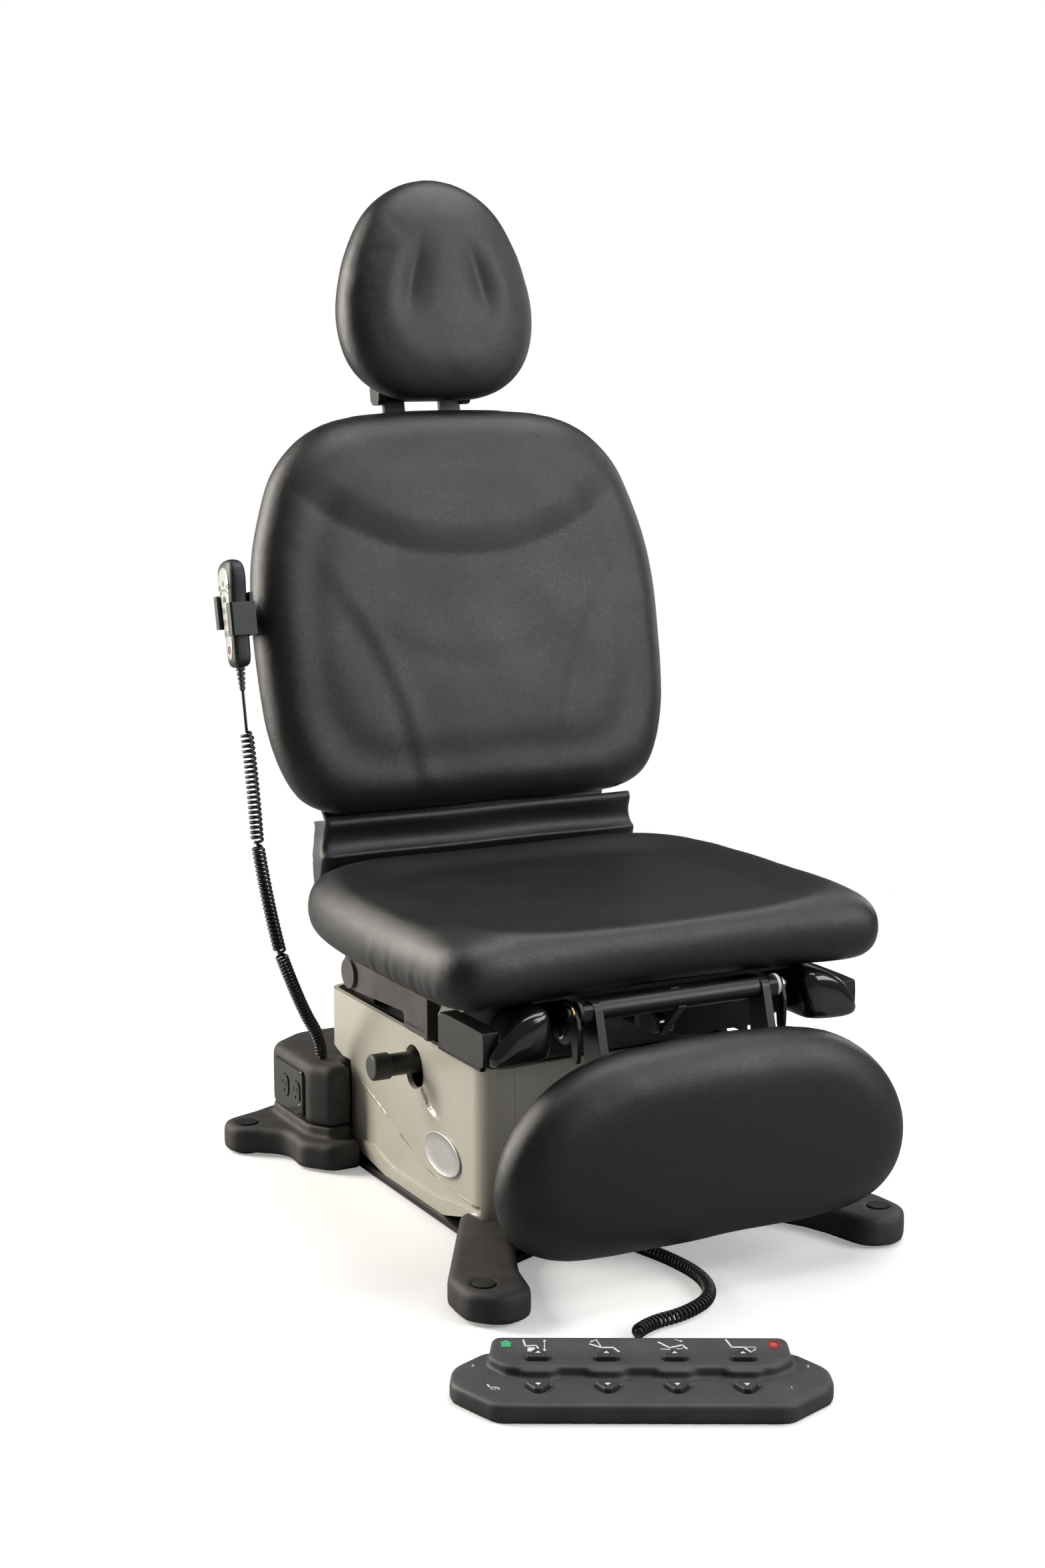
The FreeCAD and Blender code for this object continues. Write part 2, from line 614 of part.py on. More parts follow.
outlets, openings = [], []
for i, mid in enumerate(("panel_mid - 12 - outlet_pitch / 2", "panel_mid - 12 + outlet_pitch / 2")):
    openings.append(
        outlet(
            f"outlet_opening_{i}", mid, "fit_gap", "-housing_half - panel_thick - 1", "-housing_half + 1",
        ),
    )
    face = outlet(f"outlet_face_{i}", mid, "0", "-housing_half - panel_thick - 1.5", "-housing_half")
    slots = [
        block(
            f"outlet_{i}_slot_{j}", ("-housing_half - panel_thick - 2", "-housing_half - panel_thick + 2"),
            (f"{mid} + {dy} - 1.2", f"{mid} + {dy} + 1.2"),
            (f"{PANEL_UP} + {dz} - 4", f"{PANEL_UP} + {dz} + 4"),
        )
        for j, (dy, dz) in enumerate(((-6, 4), (6, 4)))
    ]
    earth = rod(
        f"outlet_{i}_earth", "X", "5", "-housing_half - panel_thick - 2",
        "-housing_half - panel_thick + 2", mid, f"{PANEL_UP} - 8",
    )
    outlets.append(cut(f"outlet_{i}", face, *slots, earth))
node("receptacle_panel", group("receptacle_panel", cut("panel_frame", panel_plate, *openings), *outlets))

# Base cover: four moulded panels with the diagonal sweep

cover_side = [
    ("-cover_front", "cover_low"), ("-cover_front", "cover_top"), ("cover_rear_top", "cover_top"),
    ("cover_rear_top", "housing_top + 18"), ("cover_rear + 28", "housing_top + seam_gap"),
    ("cover_rear", "housing_top + seam_gap"), ("cover_rear", "cover_low + 14"),
    ("cover_rear - 24", "cover_low - 4"), ("cover_rear - 124", PLATE_TOP),
    ("-cover_front + 132", PLATE_TOP), ("-cover_front + 74", "cover_low - 2"),
]
cover_block = prism("cover_block", "YZ", cover_side, "-cover_half", "cover_half", {6: 10, 8: 60, 9: 60})
# Upright edges at the two ends are rounded like the moulding.
def round_uprights(body, name, at_y, radius):
    """Round the upright edges of a body near one place along the chair."""
    base = body.Tip
    names = [
        f"Edge{i}" for i, e in enumerate(base.Shape.Edges, start=1)
        if len(e.Vertexes) == 2
        and all(abs(v.Y - size(at_y)) < 1e-4 for v in e.Vertexes)
        and abs(e.Vertexes[0].Z - e.Vertexes[1].Z) > 20
    ]
    return fillet(body, name, base, names, radius)


round_uprights(cover_block, "cover_front_round", "-cover_front", "cover_corner")
round_uprights(cover_block, "cover_rear_round", "cover_rear_top", 26)
cover_room = prism(
    "cover_room", "YZ",
    [
        ("-cover_front + cover_wall", "-10"), ("-cover_front + cover_wall", "cover_top + 10"),
        ("cover_rear_top - cover_wall", "cover_top + 10"),
        ("cover_rear_top - cover_wall", "housing_top + 18 + cover_wall"),
        ("cover_rear - cover_wall", "housing_top + cover_wall"), ("cover_rear - cover_wall", "-10"),
    ],
    "-cover_half + cover_wall", "cover_half - cover_wall",
)
round_uprights(cover_room, "cover_room_front", "-cover_front + cover_wall", "cover_corner - cover_wall")
round_uprights(cover_room, "cover_room_rear", "cover_rear_top - cover_wall", "26 - cover_wall")


def sweep_field(name, low, high):
    """Field below the diagonal sweep and above the bottom lip."""
    return prism(
        name, "YZ",
        [
            ("-cover_front - 5", "cover_low + 28"), ("-cover_front + 32", "cover_low + 24"),
            ("-cover_front + 122", "cover_low + 26"), ("cover_rear - 254", "cover_low + 36"),
            ("cover_rear - 174", "cover_low + 62"), ("cover_rear + 5", "cover_notch"),
            ("cover_rear + 5", "cover_low + 18"), ("cover_rear - 74", "cover_low + 14"),
            ("cover_rear - 144", "cover_low - 1"), ("-cover_front + 158", "cover_low"),
            ("-cover_front + 82", "cover_low + 13"), ("-cover_front - 5", "cover_low + 17"),
        ],
        low, high, {1: 80, 2: 120, 3: 120, 7: 40, 8: 60, 9: 60, 10: 60},
    )


cover_shell = cut(
    "cover_shell", cover_block, cover_room,
    sweep_field("sweep_left", "-cover_half - 2", "-cover_half + cover_recess"),
    sweep_field("sweep_right", "cover_half - cover_recess", "cover_half + 2"),
)


def side_zone(name):
    """The left panel's share of the cover."""
    return block(name, ("-cover_half - 9", "-cover_seam"), ("-400", "400"), ("0", "300"))


def middle_zone(name, low, high):
    """The front or rear panel's share of the cover."""
    return block(name, ("-cover_seam + seam_gap", "cover_seam - seam_gap"), (low, high), ("0", "300"))


cover_side_left = common("cover_side_left", cover_shell, side_zone("left_zone"))
SLOT_MID = "peg_up - (slot_tall - slot_wide) / 2"
slot_cut = prism(
    "slot_cut", "YZ",
    [
        ("peg_back - slot_wide / 2", f"{SLOT_MID} - slot_tall / 2"),
        ("peg_back + slot_wide / 2", f"{SLOT_MID} - slot_tall / 2"),
        ("peg_back + slot_wide / 2", f"{SLOT_MID} + slot_tall / 2"),
        ("peg_back - slot_wide / 2", f"{SLOT_MID} + slot_tall / 2"),
    ],
    "-cover_half - 9", "-cover_half + cover_wall + 9", {i: "slot_wide / 2 - 1" for i in range(4)},
)
EARS = ("peg_back - 24", "peg_back - 17"), ("peg_back + 17", "peg_back + 24")
ears = [
    prism(f"ear_{i}", "XZ",
          [("-cover_half + cover_wall - 1", "peg_up - 18"), ("-peg_axis + 8", "peg_up - 10"),
           ("-peg_axis + 8", "peg_up + 10"), ("-cover_half + cover_wall - 1", "peg_up + 18")],
          low, high, {1: 9, 2: 9})
    for i, (low, high) in enumerate(EARS)
]
ear_bore = rod("ear_bore", "Y", "10 + 2 * pin_gap", "peg_back - 30", "peg_back + 30", "-peg_axis", "peg_up")
node(
    "cover_left",
    cut(
        "cover_left", fuse("cover_left_whole", cut("cover_left_open", cover_side_left, slot_cut), *ears),
        ear_bore,
    ),
)
node("cover_right", mirror("cover_right", cover_side_left))
node("cover_front", common("cover_front", cover_shell, middle_zone("front_zone", "-400", "0")))
node("cover_rear", common("cover_rear", cover_shell, middle_zone("rear_zone", "0", "400")))

# Lock lever in the oval opening

lever_hub = rod("lever_hub", "Y", "24", "peg_back - 16.7", "peg_back + 16.7", "-peg_axis", "peg_up")
lever_pin = rod("lever_pin", "Y", "10", "peg_back - 24", "peg_back + 24", "-peg_axis", "peg_up")
lever_tube = rod("lever_tube", "X", "peg_dia", "-cover_half - peg_out", "-peg_axis", "peg_back", "peg_up")
lever_trim = block(
    "lever_trim", ("-peg_axis - 8", "-peg_axis + 30"), ("peg_back - 40", "peg_back + 40"),
    ("peg_up + 11", "peg_up + 40"),
)
lever_trim_low = block(
    "lever_trim_low", ("-peg_axis - 8", "-peg_axis + 30"), ("peg_back - 40", "peg_back + 40"),
    ("peg_up - 40", "peg_up - 11"),
)
node(
    "lock_lever",
    fuse(
        "lock_lever", cut("lever_tube_trimmed", lever_tube, lever_trim, lever_trim_low), lever_hub,
        lever_pin,
    ),
)
GRIP_END = "-cover_half - peg_out - grip_long + 6"
grip = rod("grip_body", "X", "grip_dia", GRIP_END, f"{GRIP_END} + grip_long", "peg_back", "peg_up")
grip_bore = rod("grip_bore", "X", "peg_dia", "-cover_half - peg_out", "-cover_half", "peg_back", "peg_up")
grip_soft = doc.addObject("Part::Fillet", "grip_soft")
doc.recompute()
grip_soft.Base = grip
grip_soft.Edges = [
    (i, 5.0, 5.0) for i, e in enumerate(grip.Shape.Edges, start=1)
    if isinstance(e.Curve, Part.Circle) and e.CenterOfMass.x < size(f"{GRIP_END} + 2")
]
node("lock_lever_grip", cut("lock_lever_grip", grip_soft, grip_bore))

# Lift column: fixed tube, two stages and the carriage

def tube(name, outer, wall, low, high):
    """Square tube of the lift column, upright."""
    outside = block(
        name + "_out", (f"-({outer}) / 2", f"({outer}) / 2"),
        (f"col_mid - ({outer}) / 2", f"col_mid + ({outer}) / 2"), (low, high),
    )
    bore = f"({outer}) / 2 - {wall}"
    inside = block(
        name + "_in", (f"-({bore})", f"({bore})"), (f"col_mid - ({bore})", f"col_mid + ({bore})"),
        (f"{low} - 1", f"{high} + 1"),
    )
    return cut(name, outside, inside)


def stage_size(number):
    """Outer size of a column tube, counted outwards from the fixed one."""
    return f"col_size + {2 * number} * (col_wall + col_gap)"


def shroud(name, number, low, high):
    """Four walls of a shroud, counted inwards."""
    half = f"shroud_half - {number} * (shroud_wall + shroud_gap)"
    length = f"shroud_len - {number} * (shroud_wall + shroud_gap)"
    outer = prism(
        name + "_outer", "XY",
        [
            (f"-({half})", f"col_mid - ({length})"), (half, f"col_mid - ({length})"),
            (half, f"col_mid + {length}"), (f"-({half})", f"col_mid + {length}"),
        ],
        low, high, {i: "shroud_wall + 9" for i in range(4)},
    )
    room = prism(
        name + "_room", "XY",
        [
            (f"-({half}) + shroud_wall", f"col_mid - ({length}) + shroud_wall"),
            (f"{half} - shroud_wall", f"col_mid - ({length}) + shroud_wall"),
            (f"{half} - shroud_wall", f"col_mid + {length} - shroud_wall"),
            (f"-({half}) + shroud_wall", f"col_mid + {length} - shroud_wall"),
        ],
        f"{low} - 5", f"{high} + 5", {i: "9" for i in range(4)},
    )
    return outer, room


node("base_column", tube("base_column", "col_size", "col_wall", PLATE_TOP, "col_top"))
for number, name in ((1, "lift_stage_1"), (2, "lift_stage_2")):
    floor = f"stage_low + {number - 1} * stage_step"
    outer, room = shroud(name + "_shroud", number - 1, floor, f"deck_low - {3 - number}")
    half = f"shroud_half - {number - 1} * (shroud_wall + shroud_gap) - 1"
    length = f"shroud_len - {number - 1} * (shroud_wall + shroud_gap) - 1"
    bottom = block(
        name + "_floor", (f"-({half})", half), (f"col_mid - ({length})", f"col_mid + {length}"),
        (floor, f"{floor} + stage_plate"),
    )
    hole_half = f"({stage_size(number)}) / 2 - 1"
    hole = block(
        name + "_hole", (f"-({hole_half})", hole_half),
        (f"col_mid - ({hole_half})", f"col_mid + {hole_half}"), ("0", "100"),
    )
    walls = cut(name + "_walls", outer, room)
    node(
        name,
        fuse(
            name, walls, cut(name + "_plate", bottom, hole),
            tube(name + "_tube", stage_size(number), "col_wall", floor, "deck_low - 4"),
        ),
    )
outer, room = shroud("upper_shroud", 2, "stage_low + 2 * stage_step", "deck_low")
node("upper_shroud", cut("upper_shroud", outer, room))
deck = prism(
    "deck", "XY",
    [
        ("-lug_in - lug_thick", "-cover_front + 24"), ("lug_in + lug_thick", "-cover_front + 24"),
        ("lug_in + lug_thick", "tilt_back + 32"), ("-lug_in - lug_thick", "tilt_back + 32"),
    ],
    "deck_low", "deck_low + deck_thick", {i: 20 for i in range(4)},
)
lug = prism(
    "lug", "YZ",
    [
        ("tilt_back - lug_round - 24", "deck_low + 1"), ("tilt_back + lug_round", "deck_low + 1"),
        ("tilt_back + lug_round", "tilt_up + lug_round"),
        ("tilt_back - lug_round", "tilt_up + lug_round"),
    ],
    "-lug_in - lug_thick", "-lug_in", {2: "lug_round - 1", 3: "lug_round - 1"},
)
lug_bore = rod("lug_bore", "X", "tilt_pin + 2 * pin_gap", "-cover_half", "cover_half", "tilt_back", "tilt_up")
node(
    "carriage",
    cut(
        "carriage",
        fuse(
            "carriage_whole", deck, lug, mirror("lug_other", lug),
            tube("carriage_tube", stage_size(3), "col_wall", "stage_low + 2 * stage_step", "deck_low"),
        ),
        lug_bore,
    ),
)
ARM_OUT = "rail_in + rail_wide + arm_thick"
pin_shank = rod(
    "pin_shank", "X", "tilt_pin", f"-({ARM_OUT}) - head_gap - 1", "-lug_in", "tilt_back", "tilt_up",
)
pin_head = rod(
    "pin_head", "X", "boss_dia", f"-({ARM_OUT}) - head_gap - boss_thick", f"-({ARM_OUT}) - head_gap",
    "tilt_back", "tilt_up",
)
node("tilt_pins", both("tilt_pins", fuse("tilt_pin_left", pin_shank, pin_head)))

# Seat section

arm_plate = prism(
    "arm_plate", "YZ",
    [
        ("-arm_front", "arm_step"), ("76", "arm_step"), ("80", "arm_low"), (
            "tilt_back - 20", "tilt_up - lug_round",
        ),
        ("tilt_back + lug_round", "tilt_up - lug_round"), ("tilt_back + lug_round", "tilt_up + lug_round"),
        ("back_hinge - 40", "rail_low + 12"), ("-arm_front", "rail_low + 12"),
    ],
    f"-({ARM_OUT})", "-rail_in - rail_wide", {1: 4, 2: 8, 4: "lug_round - 2", 5: "lug_round - 2", 6: 20},
)
arm_flange = prism(
    "arm_flange", "YZ",
    [
        ("-arm_front", "arm_step"), ("-arm_front + 10", "arm_step"), ("-arm_front + 10", "rail_low + 8"),
        ("-arm_front", "rail_low + 8"),
    ],
    f"-({ARM_OUT}) - 10", f"-({ARM_OUT}) + 1",
)
arm_rib = block(
    "arm_rib", (f"-({ARM_OUT}) - 4", f"-({ARM_OUT}) + 1"), ("-arm_front", "70"),
    ("arm_step", "arm_step + 6"),
)
arm_bore = rod(
    "arm_bore", "X", "tilt_pin + 2 * pin_gap", "-cover_half - 9", "-rail_in", "tilt_back", "tilt_up",
)
node("side_arm_left", cut("side_arm_left", fuse("arm_whole", arm_plate, arm_flange, arm_rib), arm_bore))
node("side_arm_right", mirror("side_arm_right", NODES["side_arm_left"]))

accessory = prism(
    "accessory", "XZ",
    [
        (f"-({ARM_OUT}) - 12", "arm_step"), (f"-({ARM_OUT}) - 4", "arm_step"),
        (f"-({ARM_OUT}) - 4", "arm_step + 42"), ("-rail_in - rail_wide", "rail_low + 6"),
        ("-rail_in - rail_wide", "rail_low + 14"), (f"-({ARM_OUT}) - 12", "arm_step + 50"),
    ],
    "-arm_front - plate_gap - plate_long", "-arm_front - plate_gap", {5: 4},
)
PLATE_MID = "-arm_front - plate_gap - plate_long / 2"
holes = [
    rod(
        f"accessory_bore_{i}", "X", "bolt_hole", "-cover_half - 40", "-rail_in - rail_wide - 4", y,
        "arm_step + 24",
    )
    for i, y in enumerate((f"{PLATE_MID} - bolt_pitch / 2", f"{PLATE_MID} + bolt_pitch / 2"))
]
node("accessory_plates", both("accessory_plates", cut("accessory_left", accessory, *holes)))

corner = prism(
    "corner", "XZ",
    [
        ("-rail_in - rail_wide", "pan_low"), ("-rail_in - rail_wide", "pan_low - 5"),
        ("-corner_out + 62", "pan_low - 6"), ("-corner_out + 28", "pan_low - 31"),
        ("-corner_out + 10", "pan_low - 71"), ("-corner_out + 30", "pan_low - 88"),
        ("-corner_out + 28", "pan_low - 94"), ("-corner_out", "pan_low - 75"),
        ("-corner_out + 20", "pan_low - 23"), ("-corner_out + 58", "pan_low"),
    ],
    "-foot_hinge + 2", "-foot_hinge + 120", {2: 30, 3: 30, 4: 10, 7: 12, 8: 34, 9: 34},
)
corner_end = prism(
    "corner_end", "XZ",
    [
        ("-rail_in - 44", "pan_low - 2"), ("-corner_out + 62", "pan_low - 2"),
        ("-corner_out + 25", "pan_low - 27"), ("-corner_out + 5", "pan_low - 74"),
        ("-corner_out + 28", "pan_low - 92"), ("-rail_in - 44", "pan_low - 92"),
    ],
    "-foot_hinge + 114", "-foot_hinge + 120", {1: 30, 2: 30, 3: 8},
)
corner_left = fuse("corner_left", corner, corner_end)
node("corner_covers", both("corner_covers", corner_left))

rail = block(
    "rail", ("-rail_in - rail_wide", "-rail_in"), ("-rail_front", "back_hinge - 24"),
    ("rail_low", "pan_low"),
)
rail_room = block(
    "rail_room", ("-rail_in - rail_wide + 4", "-rail_in - 4"), ("-rail_front - 1", "back_hinge - 60"),
    ("rail_low + 4", "pan_low - 4"),
)
rear_lug = prism(
    "rear_lug", "YZ",
    [
        ("back_hinge - 40", "rail_low"), ("back_hinge - 4", "rail_low"),
        ("back_hinge + hinge_round", "hinge_up - hinge_round"),
        ("back_hinge + hinge_round", "hinge_up + hinge_round"),
        ("back_hinge - hinge_round", "hinge_up + hinge_round"), ("back_hinge - 40", "pan_low"),
    ],
    "-rail_in - 20", "-rail_in", {3: "hinge_round - 1", 4: 8},
)
front_lug = prism(
    "front_lug", "YZ",
    [("-foot_hinge - hinge_round", "hinge_up - hinge_round"), ("-rail_front + 30", "rail_low + 4"),
     ("-rail_front + 30", "pan_low"), ("-foot_hinge - hinge_round", "pan_low")],
    "-tube_half - lug_play - 14", "-tube_half - lug_play", {0: "hinge_round - 4", 3: 6},
)
lug_tie = block(
    "lug_tie", ("-rail_in - 4", "-tube_half - lug_play - 6"), ("-rail_front", "-rail_front + 30"),
    ("tie_low", "pan_low"),
)
half_frame = fuse("half_frame", cut("rail_tube", rail, rail_room), rear_lug, front_lug, lug_tie)
ties = [
    block(f"tie_{i}", ("-rail_in - 1", "rail_in + 1"), (low, high), ("tie_low", "pan_low"))
    for i, (low, high) in enumerate((
        ("-rail_front + 10", "-rail_front + 38"), ("-motor_foot - 20", "-motor_foot + 20"),
        ("motor_back - 20", "motor_back + 20"), ("back_hinge - 80", "back_hinge - 50"),
    ))
]
pan = prism(
    "pan", "XY",
    [
        ("-pan_half + 60", "seat_rear - 16"), ("-pan_half", "0"), ("-pan_half", "-rail_front + 60"),
        ("-pan_half + 80", "-rail_front - 16"), ("pan_half - 80", "-rail_front - 16"),
        ("pan_half", "-rail_front + 60"), ("pan_half", "0"), ("pan_half - 60", "seat_rear - 16"),
    ],
    "pan_low", "pan_low + pan_thick", {0: 40, 1: 70, 2: 60, 3: 60, 4: 60, 5: 60, 6: 70, 7: 40},
)
frame_bores = [
    rod("rear_bore", "X", "hinge_pin + 2 * pin_gap", "-cover_half", "cover_half", "back_hinge", "hinge_up"),
    rod("front_bore", "X", "hinge_pin + 2 * pin_gap", "-cover_half", "cover_half", "-foot_hinge", "hinge_up"),
]
node(
    "seat_frame",
    cut(
        "seat_frame",
        fuse("seat_frame_whole", half_frame, mirror("half_frame_other", half_frame), pan, *ties),
        *frame_bores,
    ),
)
pins = [
    rod("back_pin", "X", "hinge_pin", "-rail_in - 20", "-tube_half + 30", "back_hinge", "hinge_up"),
    rod(
        "foot_pin", "X", "hinge_pin", "-tube_half - lug_play - 14 - washer_thick", "-tube_half + 30",
        "-foot_hinge", "hinge_up",
    ),
]
node("hinge_pins", both("hinge_pins", group("hinge_pins_left", *pins)))

seat_half, seat_front, seat_rear = size("seat_half"), size("-seat_front"), size("seat_rear")
SEAT_HALF = [
    (0, seat_front + 31), (seat_half - 283, seat_front + 29), (seat_half - 203, seat_front + 24),
    (seat_half - 128, seat_front + 15), (seat_half - 73, seat_front + 9), (seat_half - 37, seat_front + 11),
    (seat_half - 15, seat_front + 27), (seat_half - 4, seat_front + 57), (seat_half - 1, seat_front + 102),
    (seat_half, seat_front + 172), (seat_half, seat_rear - 346), (seat_half - 1, seat_rear - 266),
    (seat_half - 5, seat_rear - 186), (seat_half - 13, seat_rear - 126), (seat_half - 25, seat_rear - 78),
    (seat_half - 45, seat_rear - 39), (seat_half - 75, seat_rear - 13), (seat_half - 113, seat_rear - 2),
    (seat_half - 203, seat_rear), (0, seat_rear),
]
seat_base = size("pan_low + pan_thick")
seat_deep = size("seat_thick")
SEAT_LAYERS = [(0, 20), (0.14, 5), (0.4, 0), (0.66, 2), (0.84, 11), (0.95, 28), (1.0, 58)]
node("seat_cushion", cushion(
    "seat_cushion", SEAT_HALF, [(seat_base + part * seat_deep, inset) for part, inset in SEAT_LAYERS],
    lambda p, w: V(p.x, p.y, w),
))


def actuator(name, drop, tube_low, tube_high, motor_low, motor_high):
    """Motor and tube of an actuator under the seat, with the bore of its rod."""
    level = f"hinge_up - {drop}"
    motor = prism(
        name + "_motor", "XZ",
        [
            ("-motor_wide / 2", f"{level} - 26"), ("motor_wide / 2", f"{level} - 26"),
            ("motor_wide / 2", "tie_low"), ("-motor_wide / 2", "tie_low"),
        ],
        motor_low, motor_high, {0: 14, 1: 14},
    )
    barrel = rod(name + "_barrel", "Y", "rod_tube", tube_low, tube_high, "0", level)
    bore = rod(
        name + "_bore", "Y", "rod_dia + 2 * rod_gap", f"{tube_low} - 5", f"{tube_high} + 5", "0", level,
    )
    return cut(name, fuse(name + "_whole", motor, barrel), bore)


node("back_actuator", actuator(
    "back_actuator", "back_drop", "motor_back - 21", "back_hinge - 82", "motor_back - 31", "motor_back + 31",
))
node("foot_actuator", actuator(
    "foot_actuator", "foot_drop", "-foot_hinge + 92", "-motor_foot + 12",
    "-motor_foot - 30", "-motor_foot + 30",
))


def actuator_rod(name, drop, swing, play, pin, far, sign):
    """Rod with a fork and a cross pin for a slotted lever.

    The fork clears the lever at both ends of its swing.
    """
    level = f"hinge_up - {drop}"
    lever = f"12 * tan({swing} / 2 * 1deg) + (rod_pin / 2 + {play} + 6) / cos({swing} / 2 * 1deg)"
    neck, end = f"{pin} - {sign} * ({lever} + 10)", f"{pin} + {sign} * 12"
    low, high = (neck, end) if sign > 0 else (end, neck)
    fork = prism(
        name + "_fork", "YZ", [
            (low, f"{level} - 12"), (high, f"{level} - 12"), (high, f"{level} + 12"),
            (low, f"{level} + 12"),
        ],
        "-lever_thick / 2 - 9", "lever_thick / 2 + 9", {0: 6, 1: 6, 2: 6, 3: 6},
    )
    gap = block(name + "_gap", ("-lever_thick / 2 - 2", "lever_thick / 2 + 2"),
                (
                    f"{low} - 1" if sign < 0 else f"{low} + 8",
                    f"{high} + 1" if sign > 0 else f"{high} - 8",
                ), (f"{level} - 20", f"{level} + 20"))
    start, stop = (far, f"{neck} + 4") if sign > 0 else (f"{neck} - 4", far)
    bar = rod(name + "_bar", "Y", "rod_dia", start, stop, "0", level)
    cross = rod(name + "_cross", "X", "rod_pin", "-lever_thick / 2 - 9", "lever_thick / 2 + 9", pin, level)
    return fuse(name, cut(name + "_forked", fuse(name + "_whole", fork, bar), gap), cross)


BACK_PIN = "back_hinge + back_drop * tan(back_swing / 2 * 1deg)"
FOOT_PIN = "-foot_hinge + foot_drop * tan(foot_swing / 2 * 1deg)"
node(
    "back_rod",
    actuator_rod("back_rod", "back_drop", "back_swing", "lever_play", BACK_PIN, "motor_back + 49", 1),
)
node(
    "foot_rod",
    actuator_rod("foot_rod", "foot_drop", "foot_swing", "foot_play", FOOT_PIN, "-motor_foot - 38", -1),
)


def slotted_lever(name, drop, swing, play, angle, axis):
    """Lever on a torque tube, drawn hanging down and turned about the tube."""
    reach = f"{drop} / cos({swing} / 2 * 1deg)"
    half = f"rod_pin / 2 + {play}"
    plate = prism(
        name + "_plate", "YZ",
        [
            (f"-({half}) - 6", f"-({reach}) - rod_pin / 2 - 8"),
            (f"{half} + 6", f"-({reach}) - rod_pin / 2 - 8"), (f"{half} + 6", "4"),
            (f"-({half}) - 6", "4"),
        ],
        "-lever_thick / 2", "lever_thick / 2", {0: 8, 1: 8},
    )
    slot = prism(
        name + "_slot", "YZ",
        [
            (f"-({half})", f"-({reach}) - rod_pin / 2 - 2"), (half, f"-({reach}) - rod_pin / 2 - 2"),
            (half, f"-{drop} + rod_pin / 2 + 2"), (f"-({half})", f"-{drop} + rod_pin / 2 + 2"),
        ],
        "-lever_thick", "lever_thick", {i: 5 for i in range(4)},
    )
    arm = cut(name, plate, slot)
    return turn(arm, axis, angle)


# Back section, drawn upright about its hinge and then leaned

back_tube = rod("back_tube", "X", "tube_dia", "-tube_half", "tube_half", "0", "0")
back_bore = rod("back_bore", "X", "hinge_pin + 2 * pin_gap", "-tube_half - 1", "tube_half + 1", "0", "0")
back_arm = prism(
    "back_arm", "YZ",
    [
        ("-tube_dia / 2 - 1", "-tube_dia / 2 - 1"), ("tube_dia / 2 + 1", "-tube_dia / 2 - 1"),
        ("tube_dia / 2 + 10", "board_low - 30"), ("tube_dia / 2 + 10", "board_top - 175"),
        ("-board_face + board_thick - 1", "board_top - 175"),
        ("-board_face + board_thick - 1", "board_low - 8"), ("-tube_dia / 2 - 1", "30"),
    ],
    "-tube_half", "-tube_half + bar_thick", {0: 12, 1: 12, 3: 10, 4: 4},
)
board_half_outline = [
    ("board_half - 30", "board_low"), ("board_half", "board_low + 120"),
    ("board_half", "board_top - 200"), ("board_half - 105", "board_top"),
]
board = prism(
    "board", "XZ", board_half_outline + [(f"-({x})", z) for x, z in reversed(board_half_outline)],
    "-board_face", "-board_face + board_thick", {0: 20, 1: 60, 2: 120, 3: 40, 4: 40, 5: 120, 6: 60, 7: 20},
)
guides = []
for i, side in enumerate((1, -1)):
    mid = f"{side} * bars_half"
    sleeve = block(
        f"guide_{i}", (f"{mid} - bars_wide / 2 - 6", f"{mid} + bars_wide / 2 + 6"),
        ("-board_face + board_thick - 1", "bars_back + bars_thick / 2 + 6"),
        ("board_top - 135", "board_top - 28"),
    )
    way = block(
        f"guide_way_{i}", (f"{mid} - bars_wide / 2 - bars_gap", f"{mid} + bars_wide / 2 + bars_gap"),
        ("bars_back - bars_thick / 2 - bars_gap", "bars_back + bars_thick / 2 + bars_gap"),
        ("board_top - 145", "board_top"),
    )
    guides.append(cut(f"guide_cut_{i}", sleeve, way))
back_lever = slotted_lever(
    "back_lever", "back_drop", "back_swing", "lever_play", "back_lean + back_swing / 2", V(1, 0, 0),
)
back_half = [back_arm, mirror("back_arm_other", back_arm)]
back_ties = [
    block(
        f"back_tie_{i}", ("-tube_half + 2", "tube_half - 2"), ("-board_face + board_thick - 1", "20"),
        (low, f"{low} + 26"),
    )
    for i, low in enumerate(("board_low + 20", "board_top - 330"))
]
node(
    "back_frame",
    lean(
        cut(
            "back_frame",
            fuse("back_frame_whole", back_tube, *back_half, *back_ties, board, *guides, back_lever),
            back_bore,
        ),
    ),
)

shell_half_outline = [
    ("shell_half - 60", "board_low + 70"), ("shell_half", "board_low + 190"),
    ("shell_half", "board_top - 196"), ("shell_half - 96", "board_top - 8"),
]
shell_outer = prism(
    "shell_outer", "XZ", shell_half_outline + [(f"-({x})", z) for x, z in reversed(shell_half_outline)],
    "-board_face + board_thick", "-board_face + board_thick + shell_deep", {
        0: 50, 1: 60, 2: 110, 3: 40, 4: 40, 5: 110, 6: 60, 7: 50,
    }, ("high", 16),
)
shell_room_outline = [
    ("shell_half - 62", "board_low + 70 + shell_wall"), ("shell_half - shell_wall", "board_low + 190"),
    ("shell_half - shell_wall", "board_top - 196"),
    ("shell_half - 96 - shell_wall", "board_top - 8 - shell_wall"),
]
shell_room = prism(
    "shell_room", "XZ", shell_room_outline + [(f"-({x})", z) for x, z in reversed(shell_room_outline)],
    "-board_face + board_thick - 1", "-board_face + board_thick + shell_deep - shell_wall", {
        0: 47, 1: 57, 2: 107, 3: 37, 4: 37, 5: 107, 6: 57, 7: 47,
    }, ("high", 13),
)
